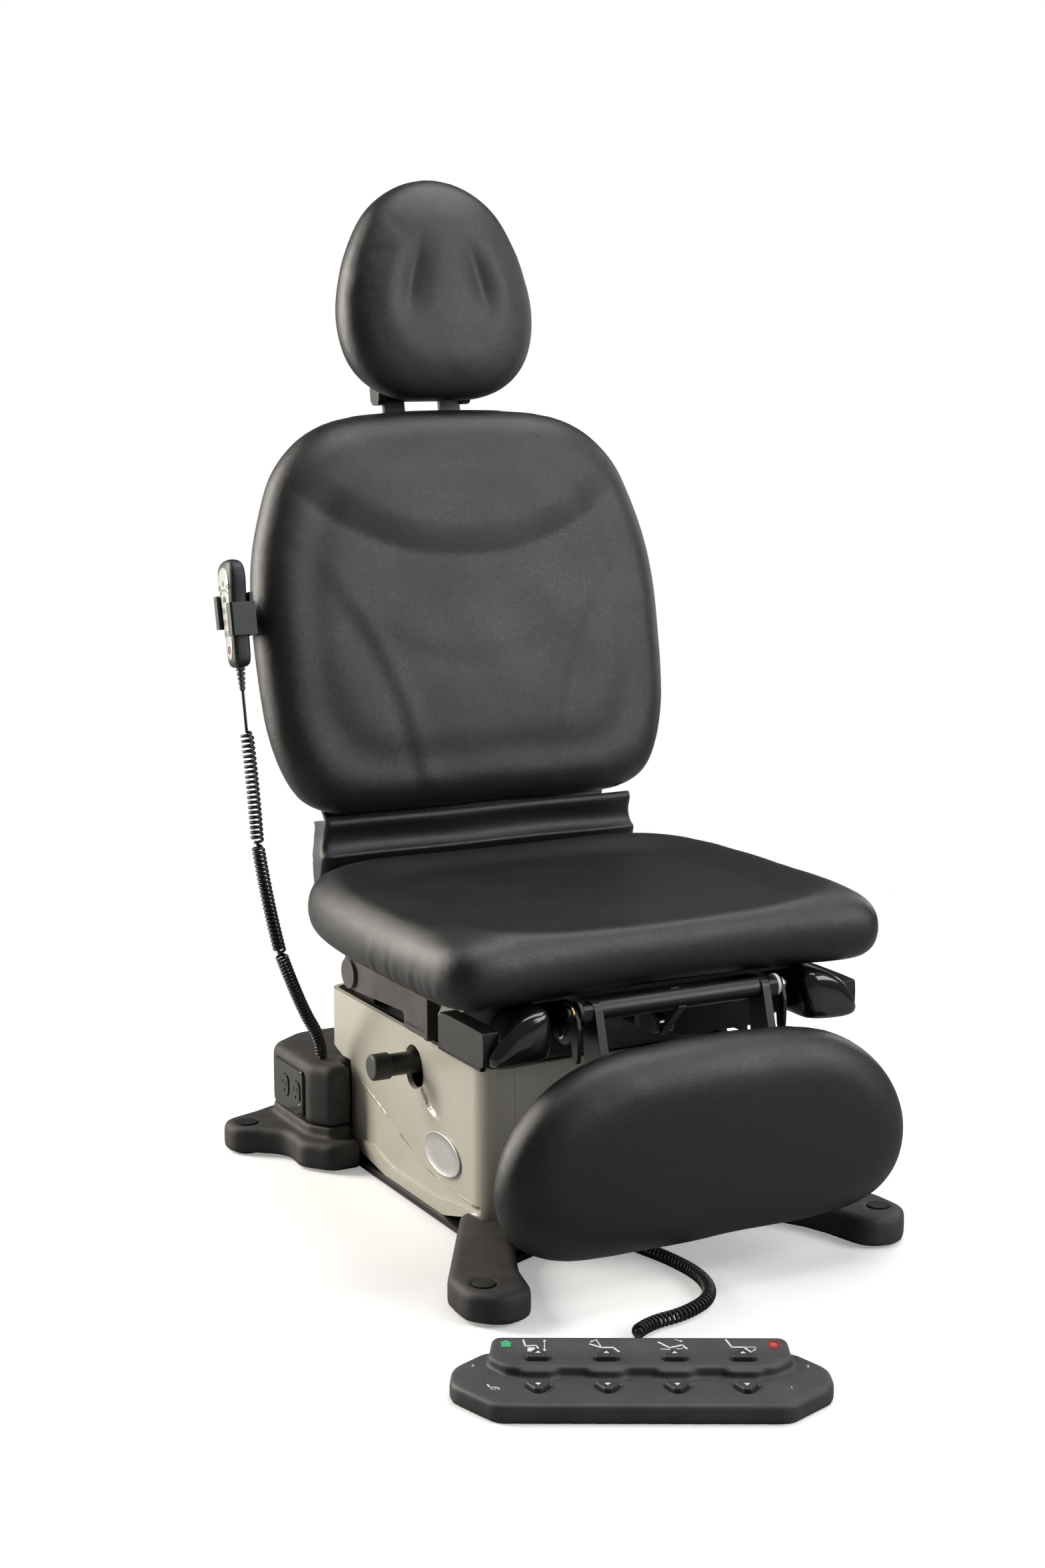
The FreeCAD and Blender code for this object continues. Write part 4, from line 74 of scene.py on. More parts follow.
@dataclass(frozen=True)
class Station:
    """A flat place on the chair: an origin and two directions that lie on it."""

    origin: Vector
    across: Vector
    up: Vector

    @property
    def out(self) -> Vector:
        """Direction that stands off the place."""
        return self.across.cross(self.up)

    def at(self, a: float, b: float, c: float = 0.0) -> Vector:
        """Point at a and b millimetres on the place and c millimetres off it."""
        return self.origin + (self.across * a + self.up * b + self.out * c) * MM

    def matrix(self, a: float, b: float, c: float) -> Matrix:
        """Transform that sets a flat drawing in metres down at a point of the place."""
        turn = Matrix((self.across, self.up, self.out)).transposed().to_4x4()
        return Matrix.Translation(self.at(a, b, c)) @ turn

    def local(self, points: np.ndarray) -> np.ndarray:
        """Points of the row frame as millimetres across, up and off the place.

        Args:
            points: rows of x, y, z in metres.

        Returns:
            Rows of the three measures.
        """
        axes = np.array([self.across, self.up, self.out])
        return (points - np.array(self.origin)) @ axes.T / MM


def leaned(degrees: float) -> tuple[Vector, Vector]:
    """Upward and forward directions of a panel that leans back."""
    angle = math.radians(degrees)
    rise = Vector((0, math.sin(angle), math.cos(angle)))
    return rise, X.cross(rise)


BACK_UP, BACK_OUT = leaned(12)
HEAD_UP, HEAD_OUT = leaned(8)
BACK = Station(Vector((0, 0.250, 0.378)), X, BACK_UP)
HEAD = Station(Vector((0, 0.43323, 1.16306)), X, HEAD_UP)
SEAT = Station(Vector((0, 0, 0.395)), X, Vector((0, 1, 0)))
LEG = Station(Vector((0, -0.392, 0.207)), X, Z)
HAND_FACE = Station(BACK.at(-396, 0, 0), BACK_OUT, BACK_UP)
COVER_FACE = Station(Vector((-0.207, 0, 0)), Vector((0, -1, 0)), Z)
PANEL_FACE = Station(Vector((-0.278, 0.350, 0.106)), Vector((0, -1, 0)), Z)
BOX_TURN = math.radians(28.5)
BOX_ACROSS = Vector((math.cos(BOX_TURN), -math.sin(BOX_TURN), 0))
BOX = Station(Vector((-0.258, -0.690, 0)), BOX_ACROSS, Z.cross(BOX_ACROSS))
DECK_SLOPE = 0.27
DECK_ZOOM = 1.3
DECK_UP = (BOX.up + Z * DECK_SLOPE).normalized()
DECK = Station(BOX.at(0, 49, 40.1), BOX_ACROSS * DECK_ZOOM, DECK_UP * DECK_ZOOM)


# Shader work


class Wiring:
    """Nodes and links of one shader tree."""

    def __init__(self, tree: Tree) -> None:
        """Keep the tree."""
        self.tree = tree

    def add(self, kind: str, inputs: dict | None = None, **settings: object) -> bpy.types.Node:
        """Add a node.

        Args:
            kind: name of the node's class.
            inputs: socket names or numbers with a value, or a socket to link from.
            settings: properties of the node.

        Returns:
            The node.
        """
        node = self.tree.nodes.new(kind)
        for key, value in settings.items():
            setattr(node, key, value)
        for key, value in (inputs or {}).items():
            self.put(value, node.inputs[key])
        return node

    def put(self, value: object, socket: Socket) -> None:
        """Give an input a value, or a link from a socket."""
        if isinstance(value, Socket):
            self.tree.links.new(value, socket)
        else:
            socket.default_value = value

    def noise(self, place: Socket, scale: object, detail: float,
              roughness: float = 0.5) -> Socket:
        """Strength of a noise texture at a place."""
        inputs = {"Vector": place, "Scale": scale, "Detail": detail, "Roughness": roughness}
        return self.add("ShaderNodeTexNoise", inputs).outputs["Fac"]

    def math(self, operation: str, first: object, second: object = 0.0) -> Socket:
        """Result of a sum on two values or sockets."""
        return self.add("ShaderNodeMath", {0: first, 1: second}, operation=operation).outputs[0]

    def ramp(self, value: object, low: float, high: float) -> Socket:
        """Smooth step of a value from low to high."""
        inputs = {"Value": value, "From Min": low, "From Max": high}
        node = self.add("ShaderNodeMapRange", inputs, interpolation_type="SMOOTHSTEP")
        return node.outputs["Result"]

    def blend(self, share: object, first: object, second: object) -> Socket:
        """Mix of two colours."""
        node = self.add("ShaderNodeMix", data_type="RGBA")
        colours = [s for s in node.inputs if s.type == "RGBA"]
        for socket, value in ((node.inputs[0], share), (colours[0], first), (colours[1], second)):
            self.put(value, socket)
        return next(s for s in node.outputs if s.type == "RGBA")

    def shown(self, gloss_share: float) -> tuple:
        """Ray kinds, and how far a white ground shows to a ray: whole to the camera, partly in gloss."""
        path = self.add("ShaderNodeLightPath").outputs
        gloss = self.math("MULTIPLY", path["Is Glossy Ray"], gloss_share)
        clear = self.math("MAXIMUM", path["Is Transmission Ray"], gloss)
        return path, self.math("MAXIMUM", path["Is Camera Ray"], clear)


def new_group(name: str, takes: Sequence[str], gives: Sequence[str]) -> tuple:
    """Start a shader node group whose sockets are values, apart from Vector.

    Args:
        name: name of the group.
        takes: names of its inputs.
        gives: names of its outputs.

    Returns:
        The tree, its wiring, and the inner ends of its inputs and outputs.
    """
    tree = bpy.data.node_groups.new(name, "ShaderNodeTree")
    for way, names in (("INPUT", takes), ("OUTPUT", gives)):
        for word in names:
            kind = "NodeSocketVector" if word == "Vector" else "NodeSocketFloat"
            tree.interface.new_socket(word, in_out=way, socket_type=kind)
    wiring = Wiring(tree)
    start, stop = wiring.add("NodeGroupInput"), wiring.add("NodeGroupOutput")
    return tree, wiring, start.outputs, stop.inputs


def hide_grain() -> Tree:
    """Pebbled grain of coated upholstery cloth, with slow changes of tone."""
    tree, w, takes, gives = new_group("hide_grain", ["Vector", "Cell"], ["Height", "Tone"])
    bend = w.add("ShaderNodeTexNoise", {"Vector": takes["Vector"], "Scale": 160.0, "Detail": 2.0})
    shift = w.add("ShaderNodeVectorMath", {0: bend.outputs["Color"], "Scale": 0.0016}, operation="SCALE")
    moved = w.add("ShaderNodeVectorMath", {0: takes["Vector"], 1: shift.outputs[0]}, operation="ADD")
    cells = w.add(
        "ShaderNodeTexVoronoi", {"Vector": moved.outputs[0], "Scale": takes["Cell"]},
        feature="DISTANCE_TO_EDGE",
    )
    pebble = w.ramp(cells.outputs["Distance"], 0.0, 0.22)
    part = w.math("MULTIPLY", w.noise(moved.outputs[0], 1900.0, 3.0), 0.45)
    w.put(w.math("ADD", pebble, part), gives["Height"])
    slow = w.math("MULTIPLY", w.noise(takes["Vector"], 11.0, 4.0), 0.65)
    close = w.math("MULTIPLY", w.noise(takes["Vector"], 140.0, 3.0), 0.35)
    w.put(w.ramp(w.math("ADD", slow, close), 0.32, 0.68), gives["Tone"])
    return tree


def mould_stipple() -> Tree:
    """Stipple of a textured mould, with slow changes of tone."""
    tree, w, takes, gives = new_group("mould_stipple", ["Vector", "Cell"], ["Height", "Tone"])
    stipple = w.noise(takes["Vector"], takes["Cell"], 4.0, 0.62)
    w.put(w.ramp(stipple, 0.36, 0.64), gives["Height"])
    w.put(w.ramp(w.noise(takes["Vector"], 24.0, 5.0), 0.3, 0.7), gives["Tone"])
    return tree


def brush_lines() -> Tree:
    """Fine lines left by brushing or turning, along X."""
    tree, w, takes, gives = new_group("brush_lines", ["Vector", "Cell"], ["Height", "Tone"])
    squeeze = w.add("ShaderNodeMapping", {"Vector": takes["Vector"], "Scale": (0.03, 1.0, 1.0)})
    lines = w.noise(squeeze.outputs[0], takes["Cell"], 3.0)
    w.put(lines, gives["Height"])
    w.put(w.ramp(lines, 0.3, 0.7), gives["Tone"])
    return tree


def edge_rub() -> Tree:
    """Mask of edges that are rubbed bright in use, broken up."""
    tree, w, takes, gives = new_group("edge_rub", ["Vector", "Reach"], ["Mask"])
    soft = w.add("ShaderNodeBevel", {"Radius": takes["Reach"]}, samples=4)
    plain = w.add("ShaderNodeNewGeometry")
    turn = w.add(
        "ShaderNodeVectorMath", {0: soft.outputs[0], 1: plain.outputs["Normal"]},
        operation="DOT_PRODUCT",
    )
    edge = w.ramp(w.math("SUBTRACT", 1.0, turn.outputs["Value"]), 0.02, 0.22)
    patch = w.noise(takes["Vector"], 55.0, 4.0)
    w.put(w.math("MULTIPLY", edge, w.ramp(patch, 0.42, 0.62)), gives["Mask"])
    return tree


class Texture(Enum):
    """Surface pattern of a finish, with the node group that makes it."""

    HIDE = "hide_grain"
    STIPPLE = "mould_stipple"
    BRUSHED = "brush_lines"
    RUBBED = "edge_rub"

    @property
    def tree(self) -> Tree:
        """The pattern's node group, made once."""
        makers = {f.__name__: f for f in (hide_grain, mould_stipple, brush_lines, edge_rub)}
        return bpy.data.node_groups.get(self.value) or makers[self.value]()


RUB_REACH = 0.0016
COAT_ROUGHNESS = 0.12


@dataclass(frozen=True)
class Finish:
    """One finish of the chair, in linear colour and per metre."""

    name: str
    colour: Colour
    roughness: float
    texture: Texture = Texture.STIPPLE
    cell: float = 2200.0
    strength: float = 0.12
    relief: float = 0.0002
    tone: float = 0.12
    polish: float = 0.08
    metallic: float = 0.0
    coat: float = 0.0
    specular: float = 0.5
    rub: float = 0.0
    rub_colour: Colour = (0.2, 0.2, 0.2)

    def material(self) -> bpy.types.Material:
        """The finish as a material, made once."""
        found = bpy.data.materials.get(self.name)
        if found:
            return found
        made = bpy.data.materials.new(self.name)
        made.use_nodes = True
        w = Wiring(made.node_tree)
        shader = made.node_tree.nodes["Principled BSDF"]
        place = w.add("ShaderNodeTexCoord").outputs["Object"]
        pattern = w.add("ShaderNodeGroup", node_tree=self.texture.tree)
        w.put(self.cell, pattern.inputs["Cell"])
        w.put(place, pattern.inputs["Vector"])
        tone = pattern.outputs["Tone"]
        low, high = (tuple(min(1.0, c * s) for c in self.colour) + (1.0,)
                     for s in (1 - self.tone, 1 + self.tone))
        colour = w.blend(tone, low, high)
        if self.rub:
            rubbed = w.add("ShaderNodeGroup", node_tree=Texture.RUBBED.tree)
            w.put(RUB_REACH, rubbed.inputs["Reach"])
            w.put(place, rubbed.inputs["Vector"])
            share = w.math("MULTIPLY", rubbed.outputs["Mask"], self.rub)
            colour = w.blend(share, colour, (*self.rub_colour, 1.0))
        rough = w.add(
            "ShaderNodeMapRange",
            {"Value": tone, "To Min": self.roughness + self.polish / 2,
             "To Max": max(0.02, self.roughness - self.polish / 2)},
        )
        bump = w.add(
            "ShaderNodeBump",
            {"Height": pattern.outputs["Height"], "Strength": self.strength, "Distance": self.relief},
        )
        for socket, value in (
            ("Base Color", colour), ("Roughness", rough.outputs["Result"]), ("Normal", bump.outputs[0]),
            ("Metallic", self.metallic), ("Coat Weight", self.coat), ("Coat Roughness", COAT_ROUGHNESS),
            ("Specular IOR Level", self.specular),
        ):
            w.put(value, shader.inputs[socket])
        return made


VINYL = Finish(
    "upholstery_vinyl", (0.0060, 0.0058, 0.0062), 0.37, Texture.HIDE, 760.0, 0.34, 0.00035, 0.22, 0.10,
    specular=0.62,
)
BEIGE = Finish(
    "beige_moulding", (0.575, 0.550, 0.468), 0.30, cell=900.0, strength=0.008, relief=0.0001, tone=0.008,
    polish=0.02, coat=0.3,
)
CHARCOAL = Finish(
    "charcoal_moulding", (0.040, 0.037, 0.037), 0.56, cell=1500.0, strength=0.45, relief=0.0003, tone=0.22,
    rub=0.25, rub_colour=(0.11, 0.11, 0.115),
)
GLOSS = Finish(
    "black_lacquer", (0.006, 0.006, 0.0065), 0.13, cell=700.0, strength=0.02, relief=0.0001, tone=0.1,
    polish=0.06, coat=0.6,
)
BLACK = Finish(
    "black_moulding", (0.011, 0.011, 0.0115), 0.42, cell=2600.0, strength=0.25, tone=0.15,
    rub=0.2, rub_colour=(0.06, 0.06, 0.06),
)
GREY_PAINT = Finish(
    "grey_powder_coat", (0.075, 0.069, 0.067), 0.42, cell=1400.0, strength=0.3, tone=0.15,
    rub=0.3, rub_colour=(0.16, 0.16, 0.165),
)
BLACK_PAINT = Finish(
    "black_powder_coat", (0.009, 0.009, 0.0095), 0.33, cell=1500.0, strength=0.28, tone=0.18,
    rub=0.35, rub_colour=(0.10, 0.10, 0.105),
)
STEEL = Finish(
    "turned_steel", (0.50, 0.51, 0.53), 0.30, Texture.BRUSHED, 1800.0, 0.1, 0.0001, 0.12, 0.12,
    metallic=1.0,
)
RUBBER = Finish(
    "matt_rubber", (0.050, 0.049, 0.053), 0.52, cell=2000.0, strength=0.3, tone=0.16,
    rub=0.12, rub_colour=(0.07, 0.07, 0.07),
)
CORD = Finish("cord_jacket", (0.008, 0.008, 0.0085), 0.38, cell=2400.0, strength=0.1, tone=0.15)
KEY = Finish("key_membrane", (0.036, 0.035, 0.038), 0.5, cell=2600.0, strength=0.2, tone=0.14)
NYLON = Finish("white_nylon", (0.74, 0.74, 0.70), 0.42, cell=1200.0, strength=0.1, tone=0.04)
BRASS = Finish(
    "brass_bush", (0.42, 0.27, 0.10), 0.32, Texture.BRUSHED, 1500.0, 0.08, 0.0001, 0.12, metallic=1.0,
)
PLATE = Finish(
    "badge_silver", (0.66, 0.66, 0.65), 0.33, Texture.BRUSHED, 1300.0, 0.05, 0.0001, 0.06, 0.08,
    metallic=0.55,
)
PRINT = Finish("white_print", (0.80, 0.80, 0.79), 0.55, cell=3000.0, strength=0.05, tone=0.03)
LABEL = Finish("label_film", (0.56, 0.56, 0.55), 0.30, cell=1600.0, strength=0.03, tone=0.03, coat=0.2)
INK = Finish("label_ink", (0.02, 0.02, 0.022), 0.5, cell=3000.0, strength=0.05, tone=0.05)
GREEN = Finish("green_print", (0.03, 0.42, 0.16), 0.5, cell=3000.0, strength=0.05, tone=0.05)
RED = Finish("red_print", (0.55, 0.05, 0.045), 0.45, cell=3000.0, strength=0.05, tone=0.05)

SLOT_FINISH = {
    "upholstery": VINYL, "cover_beige": BEIGE, "charcoal_plastic": CHARCOAL, "gloss_black": GLOSS,
    "black_plastic": BLACK, "grey_metal": GREY_PAINT, "black_metal": BLACK_PAINT, "steel": STEEL,
    "rubber": RUBBER, "cord": CORD, "key_rubber": KEY, "nylon": NYLON,
}


# Mesh work


def piece_of(name: str, mesh: Mesh, finish: Finish, smooth: bool = True) -> Piece:
    """A mesh as an object of the scene.

    Args:
        name: name of the piece.
        mesh: its mesh, in metres of the row frame.
        finish: its finish.
        smooth: whether its faces are shaded smooth.

    Returns:
        The object.
    """
    piece = bpy.data.objects.new(name, mesh)
    bpy.context.scene.collection.objects.link(piece)
    mesh.materials.clear()
    mesh.materials.append(finish.material())
    for polygon in mesh.polygons:
        polygon.use_smooth = smooth
        polygon.material_index = 0
    return piece


def mesh_from(name: str, points: Line, faces: Sequence[Sequence[int]]) -> Mesh:
    """A closed mesh with its doubles merged and its faces turned outwards."""
    mesh = bpy.data.meshes.new(name)
    mesh.from_pydata([tuple(p) for p in points], [], [tuple(f) for f in faces])
    tidy(mesh, WELD_FINE)
    return mesh


def grid_mesh(name: str, points: Line, wide: int, out: Vector) -> Mesh:
    """An open mesh through rows of points that faces one way.

    Args:
        name: name of the mesh.
        points: its points, row by row.
        wide: how many points a row has.
        out: direction that its faces look.

    Returns:
        The mesh.
    """
    starts = [a for row in range(0, len(points) - wide, wide) for a in range(row, row + wide - 1)]
    mesh = bpy.data.meshes.new(name)
    mesh.from_pydata([tuple(p) for p in points], [], [(a, a + 1, a + wide + 1, a + wide) for a in starts])
    mesh.update()
    if sum(p.normal.dot(out) for p in mesh.polygons) < 0:
        mesh.flip_normals()
    return mesh


def tidy(mesh: Mesh, near: float = 0.0) -> None:
    """Merge a mesh's doubles, if a distance is given, and turn its faces outwards."""
    work = bmesh.new()
    work.from_mesh(mesh)
    if near:
        bmesh.ops.remove_doubles(work, verts=work.verts[:], dist=near)
    bmesh.ops.recalc_face_normals(work, faces=work.faces[:])
    work.to_mesh(mesh)
    work.free()


def lofted(name: str, rings: Sequence[Line]) -> Mesh:
    """A closed mesh through rings of the same count, with its two ends filled."""
    count = len(rings[0])
    points = [p for ring in rings for p in ring]
    faces = []
    for r in range(len(rings) - 1):
        for i in range(count):
            j = (i + 1) % count
            faces.append((r * count + i, r * count + j, (r + 1) * count + j, (r + 1) * count + i))
    last = (len(rings) - 1) * count
    faces.append(tuple(last + i for i in range(count)))
    faces.append(tuple(reversed(range(count))))
    return mesh_from(name, points, faces)


def rounded(points: Line, rounds: int = 3) -> np.ndarray:
    """A closed outline with its corners cut round."""
    line = np.array(points, float)
    for _ in range(rounds):
        line = cut_corners(line, np.roll(line, -1, axis=0))
    return line


def cut_corners(line: np.ndarray, after: np.ndarray) -> np.ndarray:
    """Two points on each run of a line, from its points and those that follow them."""
    pairs = [line * 0.75 + after * 0.25, line * 0.25 + after * 0.75]
    return np.stack(pairs, axis=1).reshape(-1, line.shape[1])


def circle(count: int, phase: float = 0) -> list[float]:
    """Angles of points spread evenly round a circle."""
    return [math.tau * (i + phase) / count for i in range(count)]


def set_on(piece: Piece, body: str) -> Piece:
    """Let a piece ride on a body."""
    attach(piece, body)
    LOG.info("%s rides on %s", piece.name, body)
    return piece


def plain_mesh(source: Piece) -> Mesh:
    """The evaluated object as a plain mesh."""
    bpy.context.view_layer.update()
    seen = source.evaluated_get(bpy.context.evaluated_depsgraph_get())
    return bpy.data.meshes.new_from_object(seen)


def settle(piece: Piece, smooth: bool = False) -> Mesh:
    """Turn a piece's modifiers into plain mesh, shaded smooth if asked."""
    piece.data = plain_mesh(piece)
    piece.modifiers.clear()
    if smooth:
        for polygon in piece.data.polygons:
            polygon.use_smooth = True
    return piece.data


def refine(piece: Piece) -> None:
    """Subdivide a piece once, after its other modifiers."""
    fine = piece.modifiers.new("fine", "SUBSURF")
    fine.levels = fine.render_levels = 1
    settle(piece, True)


def even_mesh(piece: Piece, voxel: float) -> None:
    """Give a piece a mesh of even voxels."""
    even = piece.modifiers.new("even", "REMESH")
    even.mode = "VOXEL"
    even.voxel_size = voxel


def solid(name: str, rings: Sequence[Line], finish: Finish, body: str,
          smooth: bool = False) -> Piece:
    """A lofted piece on a body."""
    return set_on(piece_of(name, lofted(name, rings), finish, smooth), body)


def coordinates(mesh: Mesh) -> np.ndarray:
    """A mesh's points as rows."""
    flat = np.empty(len(mesh.vertices) * 3, np.float32)
    mesh.vertices.foreach_get("co", flat)
    return flat.reshape(-1, 3).astype(float)


def set_coordinates(mesh: Mesh, points: np.ndarray) -> None:
    """Give a mesh's points new places."""
    mesh.vertices.foreach_set("co", points.astype(np.float32).ravel())
    mesh.update()


def normals(mesh: Mesh) -> np.ndarray:
    """A mesh's point normals as rows."""
    flat = np.empty(len(mesh.vertices) * 3, np.float32)
    mesh.vertex_normals.foreach_get("vector", flat)
    return flat.reshape(-1, 3).astype(float)


def step(value: np.ndarray, low: float, high: float) -> np.ndarray:
    """Smooth step of values from low to high."""
    t = np.clip((value - low) / (high - low), 0, 1)
    return t * t * (3 - 2 * t)


def hump(value: np.ndarray, width: float | np.ndarray) -> np.ndarray:
    """Bell over zero of a given half width."""
    return np.exp(-((value / width) ** 2))


def nearest_on(flat: np.ndarray, line: Line) -> tuple[np.ndarray, np.ndarray]:
    """Distance of flat points from a line, positive on its left, and the share along it.

    Args:
        flat: rows of two measures.
        line: points of the line.

    Returns:
        The signed distances and the shares from 0 to 1.
    """
    line = np.array(line, float)
    best = np.full(len(flat), np.inf)
    signed, share = np.zeros(len(flat)), np.zeros(len(flat))
    runs = np.diff(line, axis=0)
    lengths = np.linalg.norm(runs, axis=1)
    along = np.concatenate([[0], np.cumsum(lengths)]) / lengths.sum()
    for i, run in enumerate(runs):
        rel = flat - line[i]
        t = np.clip(rel @ run / lengths[i] ** 2, 0, 1)
        off = rel - t[:, None] * run
        far = np.linalg.norm(off, axis=1)
        side = np.sign(run[0] * rel[:, 1] - run[1] * rel[:, 0])
        closer = far < best
        best = np.where(closer, far, best)
        signed = np.where(closer, far * side, signed)
        share = np.where(closer, along[i] + t * (along[i + 1] - along[i]), share)
    return signed, share


def curved(points: Line, count: int = 6) -> np.ndarray:
    """A softly rounded line through a few points."""
    line = np.array(points, float)
    for _ in range(count // 2):
        line = np.concatenate([line[:1], cut_corners(line[:-1], line[1:]), line[-1:]])
    return line


# Upholstery


SWELL_FRAMES = 20


@dataclass
class Pad:
    """A foam pad in coated cloth, grown from its CAD solid by cloth simulation."""

    node: str
    body: str
    fill: float = 0.8
    shrink: float = 0.005
    cap: float = 0.008
    voxel: float = 0.006
    pressure: float = 4.0
    soften: int = 26
    regain: float = 0.0025
    firm: float = 0.76

    def build(self) -> Piece:
        """Make the pad, sew its creases and put it on its body."""
        mesh = frame["nodes"][self.node].data.copy()
        tidy(mesh, WELD)
        piece = piece_of(self.node + "_cover", mesh, VINYL)
        set_coordinates(mesh, coordinates(mesh) - normals(mesh) * self.shrink)
        even_mesh(piece, self.voxel)
        mesh = settle(piece)
        self.relax(mesh, self.soften)
        set_coordinates(mesh, coordinates(mesh) + normals(mesh) * self.regain)
        foam = coordinates(mesh) + normals(mesh) * self.shrink
        mesh = self.swell(piece)
        foam = foam * self.firm + coordinates(mesh) * (1 - self.firm)
        set_coordinates(mesh, foam)
        self.relax(mesh, 3)
        points = coordinates(mesh)
        set_coordinates(mesh, points + self.sew(points, normals(mesh)))
        self.relax(mesh, 1)
        refine(piece)
        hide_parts(self.node)
        return set_on(piece, self.body)

    def swell(self, piece: Piece) -> Mesh:
        """Press the cover out from inside, as its foam does, no further than the cap."""
        rest = coordinates(piece.data)
        cloth = piece.modifiers.new("cover", "CLOTH")
        cloth.settings.use_pressure = True
        cloth.settings.uniform_pressure_force = self.pressure
        cloth.settings.effector_weights.gravity = 0.0
        cloth.settings.quality = 4
        cloth.point_cache.frame_start, cloth.point_cache.frame_end = 1, SWELL_FRAMES
        for number in range(1, SWELL_FRAMES + 1):
            bpy.context.scene.frame_set(number)
        mesh = settle(piece)
        bpy.context.scene.frame_set(1)
        move = coordinates(mesh) - rest
        far = np.linalg.norm(move, axis=1)[:, None]
        set_coordinates(mesh, rest + move * np.minimum(1.0, self.cap / np.maximum(far, 1e-9)))
        return mesh

    @staticmethod
    def relax(mesh: Mesh, rounds: int) -> None:
        """Even out the pad's surface."""
        edges = np.empty(len(mesh.edges) * 2, np.int32)
        mesh.edges.foreach_get("vertices", edges)
        a, b = edges.reshape(-1, 2).T
        points = coordinates(mesh)
        count = np.bincount(np.concatenate([a, b]), minlength=len(points))[:, None]
        for _ in range(rounds):
            total = np.zeros_like(points)
            for k, column in enumerate(points.T):
                pulls = [np.bincount(end, column[far], len(points)) for end, far in ((a, b), (b, a))]
                total[:, k] = pulls[0] + pulls[1]
            points = points * 0.5 + total / count * 0.5
        set_coordinates(mesh, points)

    def sew(self, points: np.ndarray, out: np.ndarray) -> np.ndarray:
        """How far each point of the pad moves for its creases and folds, in metres.

        Args:
            points: the pad's points.
            out: their normals.

        Returns:
            Rows of moves.
        """
        return np.zeros_like(points)


SMILE = [(-300, 690), (-258, 648), (-205, 604), (-126, 568), (-45, 552), (45, 552), (126, 568), (205, 604),
         (258, 648), (300, 690)]
LUMBAR = [(276, 572), (236, 506), (184, 424), (152, 346), (136, 290), (118, 196)]
SECOND_SMILE = [(-190, 470), (-132, 418), (-46, 386), (46, 386), (132, 418), (190, 470)]


@dataclass
class BackPad(Pad):
    """Back pad with a smile-shaped crease and two lumbar creases."""

    node: str = "back_cushion"
    body: str = "back"
    smile_lift: float = 6.5
    lumbar_depth: float = 1.7
    lumbar_roll: float = 1.4
    belly: float = 4.0

    def sew(self, points: np.ndarray, out: np.ndarray) -> np.ndarray:
        """Creases of the back's front face."""
        flat = BACK.local(points)
        front = step(flat[:, 2], 50, 82)
        u, v = flat[:, 0], flat[:, 1]
        lift = np.zeros(len(points))
        off, share = nearest_on(flat[:, :2], curved(SMILE))
        ends = step(share, 0.0, 0.16) * step(1 - share, 0.0, 0.16)
        lift += self.smile_lift * ends * step(off, -10, 44) * step(-off, -200, -60)
        lift -= ends * (1.2 * hump(off + 8, 12) + 1.5 * step(-off, 0, 16) * step(off, -150, -16))
        for side in (-1, 1):
            off, share = nearest_on(flat[:, :2], curved([(side * x, y) for x, y in LUMBAR]))
            inner = off * side
            width = 34 - 16 * share
            held = step(share, 0.02, 0.45) * step(v, 172, 205)
            lift -= held * self.lumbar_depth * hump(inner, width) * step(inner, -22, 12)
            lift += held * self.lumbar_roll * hump(inner + 18, 15)
        off, share = nearest_on(flat[:, :2], curved(SECOND_SMILE))
        ends = step(share, 0, 0.3) * step(1 - share, 0, 0.3)
        lift += ends * (0.8 * hump(off - 16, 20) - 0.8 * hump(off + 8, 22))
        lift += self.belly * hump(u, 100) * hump(v - 300, 120)
        lift += 0.5 * np.sin(u / 23 + 1.3) * np.sin(v / 31) + 0.35 * np.sin(u / 41 + v / 27)
        return (lift * front * MM)[:, None] * np.array(BACK_OUT)


DISH = [(-292, -60), (-290, -200), (-262, -276), (-180, -312), (0, -318), (180, -312), (262, -276),
        (290, -200), (292, -60), (276, 70), (226, 140), (120, 166), (-120, 166), (-226, 140), (-276, 70),
        (-292, -60)]


